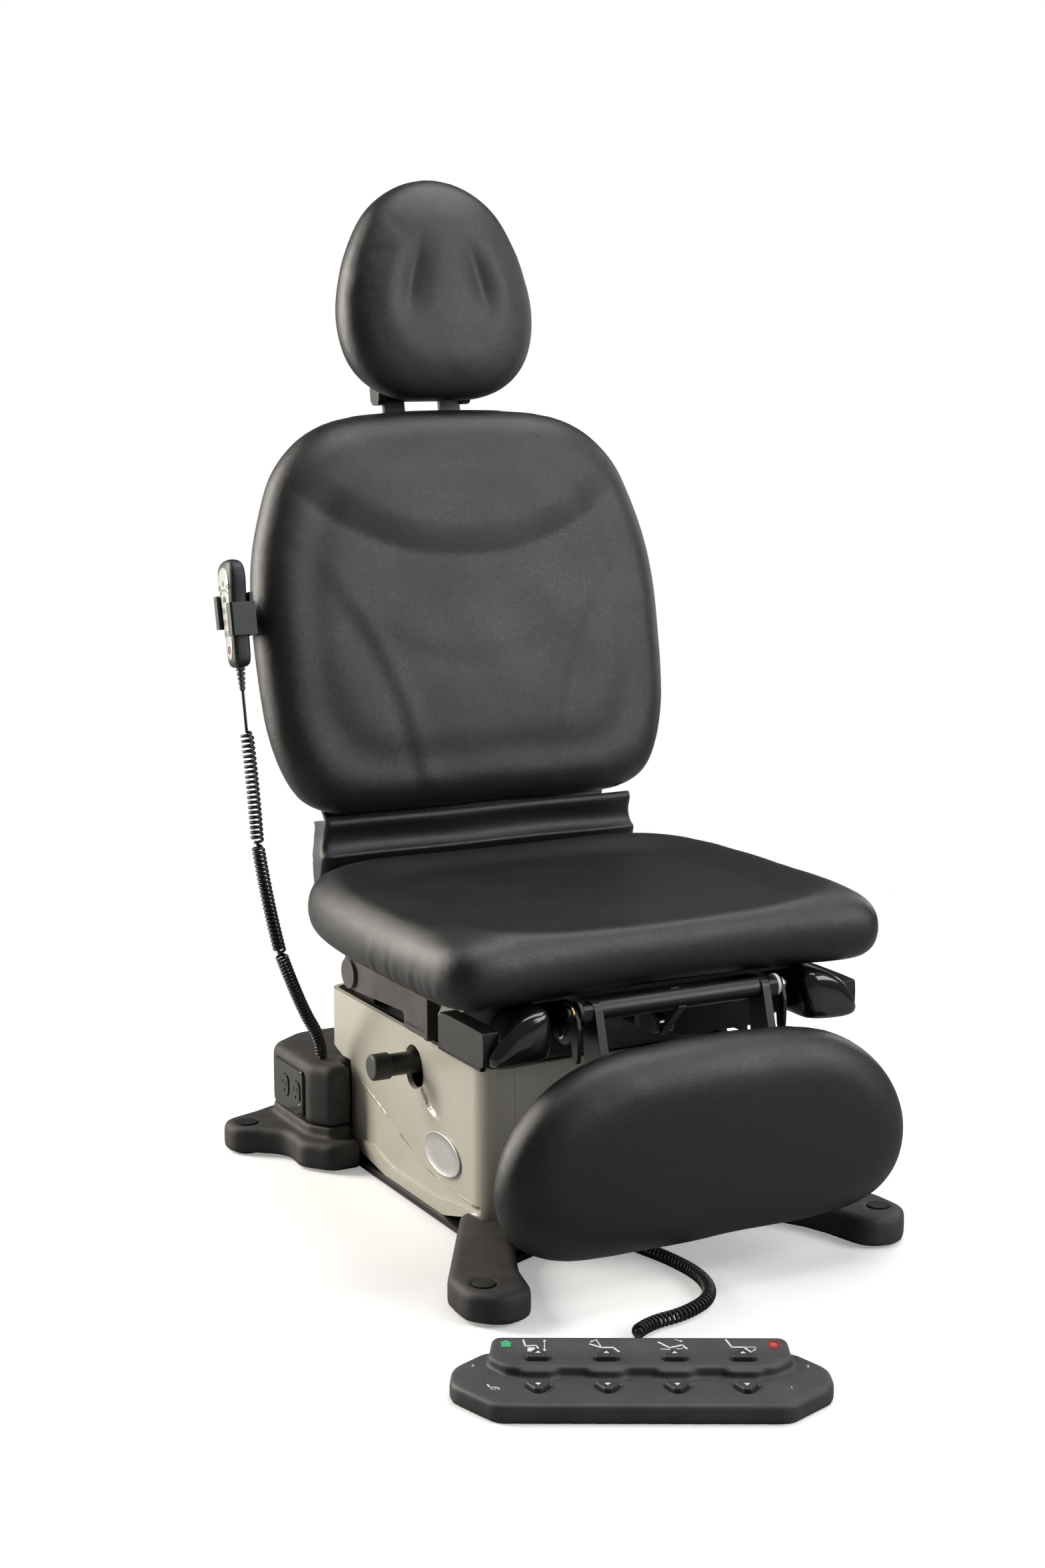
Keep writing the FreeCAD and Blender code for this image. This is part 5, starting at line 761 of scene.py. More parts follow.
@dataclass
class SeatPad(Pad):
    """Seat pad with a dished middle and gathered front corners."""

    node: str = "seat_cushion"
    body: str = "seat"
    dish_depth: float = 15.0
    rim_lift: float = 3.0
    pleat_depth: float = 2.5
    fold_depth: float = 1.5

    def sew(self, points: np.ndarray, out: np.ndarray) -> np.ndarray:
        """Dish, rim and corner pleats of the seat."""
        flat = SEAT.local(points)
        x, y, z = flat.T
        off, _ = nearest_on(flat[:, :2], curved(DISH))
        inside = np.where(self.within(flat[:, :2]), np.abs(off), -np.abs(off))
        top = step(z, 74, 92)
        lift = top * (self.rim_lift * hump(inside + 32, 24) - self.dish_depth * step(inside, -30, 52))
        corner = step(np.abs(x), 220, 330) * step(-inside, -20, 20) * hump(y + 225, 90)
        lift -= top * self.pleat_depth * corner * hump(inside - 8, 16)
        move = np.zeros_like(points)
        move[:, 2] = lift * MM
        gather = step(np.abs(x), 300, 335) * step(y, -330, -285) * step(-y, 60, 130) * step(-z, -62, -20)
        folds = np.sin(y / 3.9) + 0.6 * np.sin(y / 6.3 + 1)
        level = out.copy()
        level[:, 2] = 0
        return move + level * (gather * folds * self.fold_depth * MM)[:, None]

    @staticmethod
    def within(flat: np.ndarray) -> np.ndarray:
        """Which points lie inside the line of the dish."""
        line = curved(DISH)
        inside = np.zeros(len(flat), bool)
        for (x0, y0), (x1, y1) in zip(line[:-1], line[1:]):
            if y0 == y1:
                continue
            cross = ((y0 > flat[:, 1]) != (y1 > flat[:, 1])) & (
                flat[:, 0] < (x1 - x0) * (flat[:, 1] - y0) / (y1 - y0) + x0
            )
            inside ^= cross
        return inside


DIMPLE = [(34, 250), (40, 219), (58, 162), (68, 114), (72, 86)]


@dataclass
class HeadPad(Pad):
    """Headrest pad with two dimples beside a soft ridge."""

    node: str = "headrest_cushion"
    body: str = "headrest"
    voxel: float = 0.0045
    cap: float = 0.006
    ridge: float = 3.0
    dent_depth: float = 8.5
    dent_half: float = 38.0

    def sew(self, points: np.ndarray, out: np.ndarray) -> np.ndarray:
        """Dimples of the headrest's front face."""
        flat = HEAD.local(points)
        front = step(flat[:, 2], 78, 108)
        lift = self.ridge * hump(flat[:, 0], 34) * hump(flat[:, 1] - 165, 80)
        for side in (-1, 1):
            off, share = nearest_on(flat[:, :2], curved([(side * x, y) for x, y in DIMPLE]))
            dent = self.dent_depth * np.clip(1 - np.abs(off) / self.dent_half, 0, 1) ** 1.7
            lift -= dent * step(share, 0, 0.5) * step(1 - share, 0, 0.4)
        return (lift * front * MM)[:, None] * np.array(HEAD_OUT)


@dataclass
class LegPad(Pad):
    """Foot pad with a crowned face."""

    node: str = "foot_cushion"
    body: str = "foot"
    crown: float = 3.5
    sink: float = 3.0

    def sew(self, points: np.ndarray, out: np.ndarray) -> np.ndarray:
        """Crown of the foot pad."""
        flat = LEG.local(points)
        front = step(flat[:, 2], 50, 74)
        x, z = flat[:, 0], flat[:, 1]
        lift = self.crown * hump(x, 210) * hump(z - 10, 110) - self.sink
        lift += 0.4 * np.sin(x / 37) * np.sin(z / 29 + 0.7)
        return (lift * front * MM)[:, None] * np.array(LEG.out)


@dataclass
class Flap:
    """Vinyl flap that closes the gap between seat and back."""

    half: float = 264.0
    depth: float = 44.0
    thick: float = 2.2
    section: tuple = (
        (61, 161.3), (63.5, 157.5), (64, 152.5), (61.5, 147), (57.5, 141), (54, 134.5), (51.5, 128),
        (50.5, 121.5), (51.5, 115.5), (54.5, 110.8), (58, 107.6), (58.5, 104.8), (56.5, 101), (53.5, 95),
        (49, 87), (43, 77), (38, 67), (35, 60),
    )

    def build(self) -> Piece:
        """Make the flap and hang it between seat and back."""
        profile = curved(self.section, 4)
        points = []
        for u, back, share in self.girth():
            for w, v in profile:
                low = step(np.array([160.0 - v]), 20, 58)[0]
                wave = 1.1 * math.sin(u / 47 + v / 9) + 0.8 * math.sin(u / 83 + 2)
                flare = 6.0 * low * share * math.copysign(1, u)
                points.append(BACK.at(u + flare, v + 0.5 * wave * low, max(12.0, w - back + 0.5 * wave)))
        piece = piece_of("rear_flap", grid_mesh("rear_flap", points, len(profile), BACK_OUT), VINYL)
        wall = piece.modifiers.new("wall", "SOLIDIFY")
        wall.thickness, wall.offset = self.thick * MM, -1.0
        refine(piece)
        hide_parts("back_flap")
        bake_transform(piece)
        LOG.info("rear_flap blends from seat to back")
        return piece

    def girth(self) -> list[tuple[float, float, float]]:
        """Stations round the flap: across, set back, and share of the end's flare."""
        bend = 9.0
        ends = [(self.half, self.depth - i * (self.depth - bend) / 5, 1.0) for i in range(6)]
        for i in range(1, 5):
            a = math.radians(90 * i / 4)
            ends.append((self.half - bend + bend * math.cos(a), bend - bend * math.sin(a), 1 - 0.2 * i))
        span = np.linspace(self.half - bend - 12, -(self.half - bend - 12), 46)
        left = [(-u, b, s) for u, b, s in reversed(ends)]
        return ends + [(float(u), 0.0, 0.0) for u in span] + left


# Cords


def spline_points(route: Line, resolution: int = 24) -> np.ndarray:
    """Points of the smooth line that a route's points control, in metres."""
    return curve_line(route_curve("route", [Vector(p) * MM for p in route], resolution))


def curve_mesh(curve: bpy.types.Curve) -> Mesh:
    """A curve or a text as a mesh."""
    holder = bpy.data.objects.new(curve.name + "_line", curve)
    mesh = bpy.data.meshes.new_from_object(holder)
    bpy.data.objects.remove(holder)
    return mesh


def curve_line(curve: bpy.types.Curve) -> np.ndarray:
    """Points of a bare curve, as rows."""
    mesh = curve_mesh(curve)
    line = coordinates(mesh)
    bpy.data.meshes.remove(mesh)
    return line


def route_curve(name: str, points: Line, resolution: int) -> bpy.types.Curve:
    """A curve of one open smooth spline with these control points."""
    curve = bpy.data.curves.new(name, "CURVE")
    curve.dimensions = "3D"
    spline = curve.splines.new("NURBS")
    spline.points.add(len(points) - 1)
    for target, p in zip(spline.points, points):
        target.co = (*p, 1.0)
    spline.order_u = 3
    spline.use_endpoint_u = True
    spline.resolution_u = resolution
    curve.resolution_u = resolution
    return curve


WIRE = 4.6
CURL_RAMP = 4.0
LEAD_SHARE = 0.35
TURN_POINTS = 16
HAND_TOP, HAND_LOW = (-382, 244.9, 748.2), (-382, 232.8, 691.4)
CURL_A, CURL_B, CURL_END = (-366, 238, 520), (-326, 254, 346), (-240, 304, 158)
FOOT_START, FOOT_LEAD, GLAND = (-36, -200, 9.4), (-183.1, -552.0, 12), (-220.8, -621.5, 12)
FOOT_ROUTE = [
    FOOT_START, (-26, -270, 10.1), (-6, -345, 10.1), (-2, -425, 10.1), (-30, -492, 10.1), (-92, -524, 10.1),
    (-152, -528, 10.1), FOOT_LEAD,
]


@dataclass
class Cord:
    """One length of cord between two pieces, curled or plain."""

    name: str
    node: str
    route: list
    bodies: tuple
    turns: int = 0
    coil: float = 7.8
    lay: str = "hanging"
    stiffness: str = "medium"
    sides: int = 3

    def centreline(self) -> np.ndarray:
        """Control points of the wire's own line, in metres."""
        if not self.turns:
            return np.array([Vector(p) * MM for p in self.route])
        return self.helix(spline_points(self.route))

    def helix(self, spine: np.ndarray) -> np.ndarray:
        """Turns round the route's smooth line, which swell from its ends.

        Args:
            spine: points of the smooth line.

        Returns:
            Points of the wire's line.
        """
        along = np.concatenate([[0], np.cumsum(np.linalg.norm(np.diff(spine, axis=0), axis=1))])
        total = along[-1]
        lead = LEAD_SHARE * WIRE * MM
        at = np.linspace(lead, total - lead, self.turns * TURN_POINTS + 1)
        mid = np.stack([np.interp(at, along, spine[:, k]) for k in range(3)], axis=1)
        ways = np.gradient(mid, axis=0)
        ways /= np.linalg.norm(ways, axis=1)[:, None]
        side = np.cross(ways[0], (0.3, 0.2, 0.93) if abs(ways[0][2]) < 0.8 else (1.0, 0.0, 0.0))
        radius = self.coil * MM * step(np.minimum(at - lead, total - lead - at), 0, CURL_RAMP * MM)
        points = [spine[0]]
        for i, way in enumerate(ways):
            side = side - way * np.dot(side, way)
            side = side / np.linalg.norm(side)
            angle = math.tau * i / TURN_POINTS
            round_it = side * math.cos(angle) + np.cross(way, side) * math.sin(angle)
            points.append(mid[i] + round_it * radius[i])
        return np.array(points + [spine[-1]])

    def build(self) -> Piece:
        points = self.centreline()
        curve = route_curve(self.name, points, 3 if self.turns else 12)
        line = curve_line(curve)
        curve.bevel_depth = WIRE / 2 * MM
        curve.bevel_resolution = self.sides
        curve.use_fill_caps = True
        mesh = curve_mesh(curve)
        tidy(mesh, WELD_FINE)
        piece = piece_of(self.name, mesh, CORD)
        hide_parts(self.node)
        if len(self.bodies) == 1:
            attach(piece, self.bodies[0])
        else:
            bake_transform(piece)
        return piece


def cords() -> list[Cord]:
    """Every length of cord on the chair."""
    return [
        Cord("hand_cord_lower", "hand_curl_lower", [CURL_END, (-240, 300, 186), (-286, 276, 254), CURL_B],
             ("base", "carriage"), 33),
        Cord("hand_cord_middle", "hand_curl_middle", [CURL_B, (-351, 244, 432), CURL_A],
             ("carriage", "seat"), 26),
        Cord("hand_cord_upper", "hand_curl_upper", [CURL_A, (-374, 230, 606), HAND_LOW],
             ("seat", "back"), 22),
        Cord("hand_cord_plain", "hand_cord_lead", [HAND_LOW, HAND_TOP], ("back", "hand_control")),
        Cord("foot_cord_curled", "foot_cord_curl", FOOT_ROUTE, ("base", "foot_control"), 62, 7.5, "loose"),
        Cord("foot_cord_plain", "foot_cord_lead", [FOOT_LEAD, GLAND], ("foot_control",), 0, 0.0, "loose"),
    ]


# Mouldings whose edges are rolled


@dataclass
class Moulding:
    """A CAD node's own form with soft edges."""

    node: str
    body: str
    slot: str
    voxel: float = 0.0028
    rounds: int = 14

    def build(self) -> Piece:
        """Roll the edges and put the moulding in its node's place."""
        mesh = frame["nodes"][self.node].data.copy()
        tidy(mesh, WELD)
        piece = piece_of(self.node + "_soft", mesh, SLOT_FINISH[self.slot])
        even_mesh(piece, self.voxel)
        roll = piece.modifiers.new("roll", "SMOOTH")
        roll.factor, roll.iterations = 0.5, self.rounds
        mesh = settle(piece, True)
        set_coordinates(mesh, self.shape(coordinates(mesh)))
        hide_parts(self.node)
        return set_on(piece, self.body)

    def shape(self, points: np.ndarray) -> np.ndarray:
        """Last change to the points' places."""
        return points


@dataclass
class ControlBody(Moulding):
    """Foot control whose upper deck rises towards its rear edge."""

    def shape(self, points: np.ndarray) -> np.ndarray:
        """Raise the rear of the upper deck."""
        flat = BOX.local(points)
        back = flat[:, 1] - 38
        rise = DECK_SLOPE * (np.sqrt(back * back + 36) + back) / 2
        return points + (rise * step(flat[:, 2], 22, 36) * MM)[:, None] * np.array(Z)


SWEEP = [(-187, 58), (-150, 54), (-60, 56), (20, 66), (100, 92), (190, 120), (279, 148)]
SCALLOP = [(36, 192), (20, 177), (1, 159), (-24, 151), (-56, 151)]


@dataclass
class CoverPanel:
    """Left base cover with a crease along the sweep and a scallop below the lever's slot."""

    face: float = -0.2068
    sharp: float = 24.0
    sweep_depth: float = 3.0
    sweep_reach: float = 95.0
    scallop_depth: float = 4.6
    scallop_reach: float = 30.0

    def build(self) -> Piece:
        """Cut the panel fine and press its outer face."""
        mesh = frame["nodes"]["cover_left"].data.copy()
        work = bmesh.new()
        work.from_mesh(mesh)
        bmesh.ops.remove_doubles(work, verts=work.verts[:], dist=WELD)
        near = [(1, v) for v in np.arange(-70, 50, 3.0)] + [(2, v) for v in np.arange(140, 204, 3.0)]
        wide = [(1, v) for v in np.arange(-138, 345, 7.0)] + [(2, v) for v in np.arange(35, 256, 6.0)]
        for axis, value in wide + near:
            spot, way = [0.0, 0.0, 0.0], [0.0, 0.0, 0.0]
            spot[axis], way[axis] = value * MM, 1.0
            every = work.verts[:] + work.edges[:] + work.faces[:]
            bmesh.ops.bisect_plane(work, geom=every, dist=1e-6, plane_co=spot, plane_no=way)
        bmesh.ops.recalc_face_normals(work, faces=work.faces[:])
        work.to_mesh(mesh)
        work.free()
        points = coordinates(mesh)
        outer = points[:, 0] < self.face
        points[outer, 0] += self.press(points[outer, 1:] / MM) * MM
        set_coordinates(mesh, points)
        piece = piece_of("cover_left_panel", mesh, BEIGE)
        mesh.set_sharp_from_angle(angle=math.radians(self.sharp))
        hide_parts("cover_left")
        return set_on(piece, "base")

    def press(self, flat: np.ndarray) -> np.ndarray:
        """Depth of the outer face in millimetres at places along the chair and above the floor."""
        above, _ = nearest_on(flat, curved(SWEEP))
        above = np.abs(above) * np.where(np.interp(flat[:, 0], *np.array(SWEEP).T) <= flat[:, 1], 1, -1)
        near = np.clip(1 - np.clip(above, 0, None) / self.sweep_reach, 0, 1) * (above >= -8)
        depth = self.sweep_depth * near**2 * step(flat[:, 0], -142, -110)
        off, share = nearest_on(flat, curved(SCALLOP))
        edge = np.interp(flat[:, 0], *np.array(SCALLOP[::-1]).T)
        inside = (flat[:, 1] > edge) & (flat[:, 0] < 30) & (flat[:, 0] > -56)
        far = np.abs(off)
        fade = step(1 - share, 0.0, 0.45) * step(flat[:, 0], -58, -34)
        hollow = self.scallop_depth * hump(far, self.scallop_reach) * step(far, -1, 3) * fade
        return depth + np.where(inside, hollow, 0)


# Flat drawings


@dataclass
class Drawing:
    """Printed marks: strokes and filled shapes a fraction of a millimetre proud of a place."""

    place: Station
    level: float = 0.0
    thick: float = 0.25
    points: list = field(default_factory=list)
    faces: list = field(default_factory=list)

    def slab(self, outline: Line) -> None:
        """Add a filled convex shape, given in millimetres."""
        start, count = len(self.points), len(outline)
        for c in (self.level - 0.1, self.level + self.thick):
            self.points += [self.place.at(a, b, c) for a, b in outline]
        self.faces.append([start + i for i in reversed(range(count))])
        self.faces.append([start + count + i for i in range(count)])
        for i in range(count):
            j = (i + 1) % count
            self.faces.append([start + i, start + j, start + count + j, start + count + i])

    def stroke(self, line: Line, width: float = 0.9) -> None:
        """Add a line of straight runs, given in millimetres."""
        for (x0, y0), (x1, y1) in zip(line[:-1], line[1:]):
            run = math.hypot(x1 - x0, y1 - y0)
            dx, dy = (x1 - x0) / run * width / 2, (y1 - y0) / run * width / 2
            self.slab([
                (x0 - dx + dy, y0 - dy - dx), (x1 + dx + dy, y1 + dy - dx),
                (x1 + dx - dy, y1 + dy + dx), (x0 - dx - dy, y0 - dy + dx),
            ])

    def disc(self, a: float, b: float, wide: float, tall: float | None = None, count: int = 24) -> None:
        """Add a filled round or oval, by its half sizes."""
        tall = wide if tall is None else tall
        self.slab([(a + wide * math.cos(t), b + tall * math.sin(t)) for t in circle(count)])

    def ring(self, a: float, b: float, radius: float, width: float = 0.8, count: int = 24) -> None:
        """Add a thin round line."""
        turns = circle(count) + [math.tau]
        self.stroke([(a + radius * math.cos(t), b + radius * math.sin(t)) for t in turns], width)

    def arrow(self, tail: Sequence[float], tip: Sequence[float], width: float, head: float) -> None:
        """Add an arrow."""
        run = math.hypot(tip[0] - tail[0], tip[1] - tail[1])
        dx, dy = (tip[0] - tail[0]) / run, (tip[1] - tail[1]) / run
        neck = tip[0] - dx * head, tip[1] - dy * head
        self.stroke([tail, neck], width)
        x, y = dy * head * 0.55, dx * head * 0.55
        self.slab([(neck[0] + x, neck[1] - y), tip, (neck[0] - x, neck[1] + y)])

    def sign(self, marks: Sequence[Mark], a: float, b: float, zoom: float = 1.0) -> None:
        """Add a sign's marks: a filled shape has no width, and an arrow has a head."""
        for points, width, head in marks:
            moved = [(a + x * zoom, b + y * zoom) for x, y in points]
            if head:
                self.arrow(*moved, width, head)
            elif width:
                self.stroke(moved, width)
            else:
                self.slab(moved)

    def piece(self, name: str, finish: Finish, body: str, slot: str) -> Piece:
        """The drawing as one piece on a body."""
        mesh = bpy.data.meshes.new(name)
        mesh.from_pydata([tuple(p) for p in self.points], [], self.faces)
        tidy(mesh)
        return set_on(piece_of(name, mesh, finish, smooth=False), body)


FIGURE_SHARE = 0.7


def figure(name: str, text: str, place: Station, at: Sequence[float], tall: float, finish: Finish,
           body: str) -> Piece:
    """A printed figure on a place.

    Args:
        name: name of the piece.
        text: the figure.
        place: where it stands.
        at: millimetres across, up and off the place.
        tall: its height in millimetres.
        finish: its finish.
        body: the body it rides on.

    Returns:
        The piece.
    """
    letters = bpy.data.curves.new(name, "FONT")
    letters.body = text
    letters.size = tall / FIGURE_SHARE * MM
    letters.align_x, letters.align_y = "CENTER", "CENTER"
    letters.extrude = 0.00015
    mesh = curve_mesh(letters)
    mesh.transform(place.matrix(*at))
    tidy(mesh, WELD_FINE)
    return set_on(piece_of(name, mesh, finish, smooth=False), body)


HEIGHT_SIGN = (
    ([(-14, 8), (-12, -1), (-2, 0), (1, -6)], 1.6, 0), ([(-10, -9), (-3, -9), (-3, -3), (-10, -3)], 0, 0),
    ([(6, 0), (6, 9)], 0.9, 3.2), ([(6, 0), (6, -9)], 0.9, 3.2),
)
RECLINE_SIGN = (
    ([(-15, 2), (-4, -3), (7, -3), (12, -9)], 1.8, 0), ([(-9, 9), (-4, -3)], 1.0, 0),
    ([(-10, 8), (-15, 5)], 0.9, 2.6),
)
TILT_SIGN = (
    ([(-14, 5), (-4, -3), (8, 1), (12, -4)], 1.8, 0), ([(-12, -5), (-3, -6), (8, -4)], 0.9, 0),
    ([(2, 9), (9, 6)], 0.9, 2.6),
)
FOOT_SIGN = (
    ([(-14, 9), (-9, -2), (2, -2), (8, -9)], 1.8, 0), ([(2, -2), (13, -2)], 0.9, 0),
    ([(10, -8), (13.5, -4)], 0.9, 2.6),
)
HOME_SIGN = (
    ([(-4.6, -4.5), (4.6, -4.5), (4.6, 1), (-4.6, 1)], 0, 0), ([(-6.6, 1), (6.6, 1), (0, 6)], 0, 0),
)
SEAT_SIGN = (
    ([(-9, 9), (-5, -2), (6, -1), (9, -8)], 1.6, 0), ([(-3, -4), (-3, -9), (4, -9), (4, -4)], 0.9, 0),
)


@dataclass
class FootControl:
    """Printed marks of the foot control and its keys."""

    pitch: float = 83.0
    up_row: float = 26.0
    down_row: float = -38.0
    high_deck: float = 37.0
    low_deck: float = 24.0
    rise: float = 5.0
    end_mark: float = 164.0

    def build(self) -> None:
        """Soften the body and print every mark."""
        ControlBody("foot_control", "foot_control", "rubber", 0.0022, 10).build()
        rows = ("up", self.up_row, self.high_deck, 1), ("down", self.down_row, self.low_deck, -1)
        for row, mid, deck, way in rows:
            for i in range(4):
                a = (i - 1.5) * self.pitch
                mark = Drawing(BOX, deck + self.rise)
                mark.slab([(a - 3.6, mid - way * 2.8), (a + 3.6, mid - way * 2.8), (a, mid + way * 3.4)])
                mark.piece(f"key_mark_{row}_{i + 1}", PRINT, f"key_{row}_{i + 1}", "nylon")
        edge = self.end_mark / DECK_ZOOM
        signs, home, stop = (Drawing(DECK, 0.2, 0.3) for _ in range(3))
        for i, marks in enumerate((HEIGHT_SIGN, RECLINE_SIGN, TILT_SIGN, FOOT_SIGN)):
            signs.sign(marks, (i - 1.5) * self.pitch / DECK_ZOOM, 0.0)
        signs.piece("deck_signs", PRINT, "foot_control", "nylon")
        home.sign(HOME_SIGN, -edge, 2.0)
        home.piece("home_sign", GREEN, "foot_control", "nylon")
        stop.ring(edge, 2.0, 5.6, 1.6)
        stop.disc(edge, 2.0, 3.6)
        stop.piece("stop_sign", RED, "foot_control", "nylon")
        for text, a, b in (("3", -204, 26), ("2", 204, 26), ("1", 178, -36)):
            at = a, b, self.low_deck + 0.1
            figure(f"number_{text}", text, BOX, at, 6.0, PRINT, "foot_control")
        seat = Drawing(BOX, self.low_deck)
        seat.sign(SEAT_SIGN, -178, -36, 0.8)
        seat.piece("seat_sign", PRINT, "foot_control", "nylon")


@dataclass
class HandControl:
    """Paddle-shaped hand control with a label that follows its face."""

    mid: float = 82.0
    deep: float = 14.0
    low: float = 395.0
    square: float = 4.0
    film: float = 0.5
    stations: tuple = (
        (0, 8, 6), (1.2, 12.5, 9), (4, 16, 11.8), (9, 18, 13.4), (20, 19, 14), (45, 20, 14), (75, 21.8, 14),
        (104, 25.0, 14), (118, 28, 14), (130, 30, 14), (140, 29.6, 13.6), (147, 27, 12.8), (152.5, 22, 11),
        (156, 14.5, 8), (158, 6, 4),
    )

    def build(self) -> None:
        """Make the body, its label and the signs on it."""
        outline = [(self.squared(math.cos(t)), self.squared(math.sin(t))) for t in circle(48, 0.5)]
        rings = [
            [self.place(wide * a, self.low + up, thick * c - self.deep) for a, c in outline]
            for up, wide, thick in self.stations
        ]
        body = piece_of("hand_paddle", lofted("hand_paddle", rings), BLACK)
        refine(body)
        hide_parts("hand_control")
        set_on(body, "hand_control")
        self.label()
        self.signs()

    def squared(self, share: float) -> float:
        """Share of a round outline, drawn out towards a square one."""
        return math.copysign(abs(share) ** (2 / self.square), share)

    def place(self, across: float, up: float, off: float) -> Vector:
        """Point from the middle of the face."""
        return HAND_FACE.at(self.mid + across, up, off)

    def label(self) -> Piece:
        """Printed film on the face, narrower towards the cord."""
        ups, wides, thicks = np.array(self.stations).T
        rows, columns = 34, 15
        low, high = 11, 146
        points = []
        for up in np.linspace(low, high, rows):
            share = (up - low) / (high - low)
            end = math.sqrt(max(0.0, 1 - abs(2 * share - 1) ** 7))
            wide = np.interp(up, ups, wides)
            half = wide * (0.58 + 0.16 * share) * max(0.3, end)
            for k in np.linspace(-1, 1, columns):
                across = k * half
                lie = (1 - abs(across / wide) ** self.square) ** (1 / self.square)
                off = np.interp(up, ups, thicks) * lie - self.deep + 0.35
                points.append(self.place(across, self.low + up, off))
        piece = piece_of("hand_label", grid_mesh("hand_label", points, columns, HAND_FACE.out), LABEL)
        film = piece.modifiers.new("film", "SOLIDIFY")
        film.thickness, film.offset = self.film * MM, -1.0
        settle(piece)
        return set_on(piece, "hand_control")

    def signs(self) -> None:
        """Arrows and key outlines printed on the label."""
        ink = Drawing(HAND_FACE, 0.3, 0.25)
        a, b = self.mid, self.low
        arc = [(a + 20 * math.cos(t), b + 94 + 20 * math.sin(t)) for t in np.linspace(0.75, 2.4, 12)]
        ink.stroke(arc, 1.2)
        for turn in (0.9, 1.57, 2.2):
            ink.ring(a + 27 * math.cos(turn), b + 96 + 27 * math.sin(turn), 2.8, 0.8)
        ink.slab([(a - 6, b + 96), (a + 6, b + 96), (a + 4, b + 104), (a - 4, b + 104)])
        for i in range(3):
            up = b + 84 - i * 17
            for side in (-1, 1):
                ink.ring(a + side * 6.6, up, 4.2, 0.7)
                ink.slab([(a + side * 6.6 - 2, up - side * 1.4), (a + side * 6.6 + 2, up - side * 1.4),
                          (a + side * 6.6, up + side * 2)][::side])
        ink.piece("hand_label_signs", INK, "hand_control", "black_plastic")
        stop = Drawing(HAND_FACE, 0.3, 0.3)
        stop.ring(a, b + 26, 4.6, 1.4)
        stop.disc(a, b + 26, 2.4)
        stop.piece("hand_stop_key", RED, "hand_control", "nylon")


@dataclass
class BaseDressing:
    """Blank oval plate on the base cover, the panel's sign and the base's mouldings."""

    plate_mid: tuple = (49.0, 103.0)
    plate_half: tuple = (58.0, 31.0)
    plate_rim: tuple = (
        (1.0, -0.2), (1.0, 1.2), (0.985, 2.1), (0.955, 2.5), (0.925, 2.2), (0.90, 1.7), (0.6, 1.75),
        (0.2, 1.8),
    )

    def build(self) -> None:
        """Make the plate and the panel's small sign."""
        self.plate()
        sign = Drawing(PANEL_FACE, 0.0, 0.2)
        for b in (6.0, -6.0):
            sign.stroke([(40, b - 12), (40, b - 4), (46, b - 4), (46, b - 12), (40, b - 12)], 0.7)
            sign.stroke([(41.5, b - 8), (44.5, b - 8)], 1.4)
        sign.piece("panel_sign", PRINT, "base", "nylon")
        CoverPanel().build()
        for node, rounds in (
            ("power_housing", 44), ("rear_base_cover", 18), ("front_foot_cover_left", 18),
            ("front_foot_cover_right", 18),
        ):
            Moulding(node, "base", "charcoal_plastic", rounds=rounds).build()

    def plate(self) -> Piece:
        """Oval plate with a rolled rim."""
        (a, b), (wide, tall) = self.plate_mid, self.plate_half
        rings = [
            [COVER_FACE.at(a + wide * k * math.cos(t), b + tall * k * math.sin(t), off) for t in circle(72)]
            for k, off in self.plate_rim
        ]
        return solid("cover_plate", rings, PLATE, "base", smooth=True)


# Repeated small parts, by geometry nodes


SCREW_SEED = 7


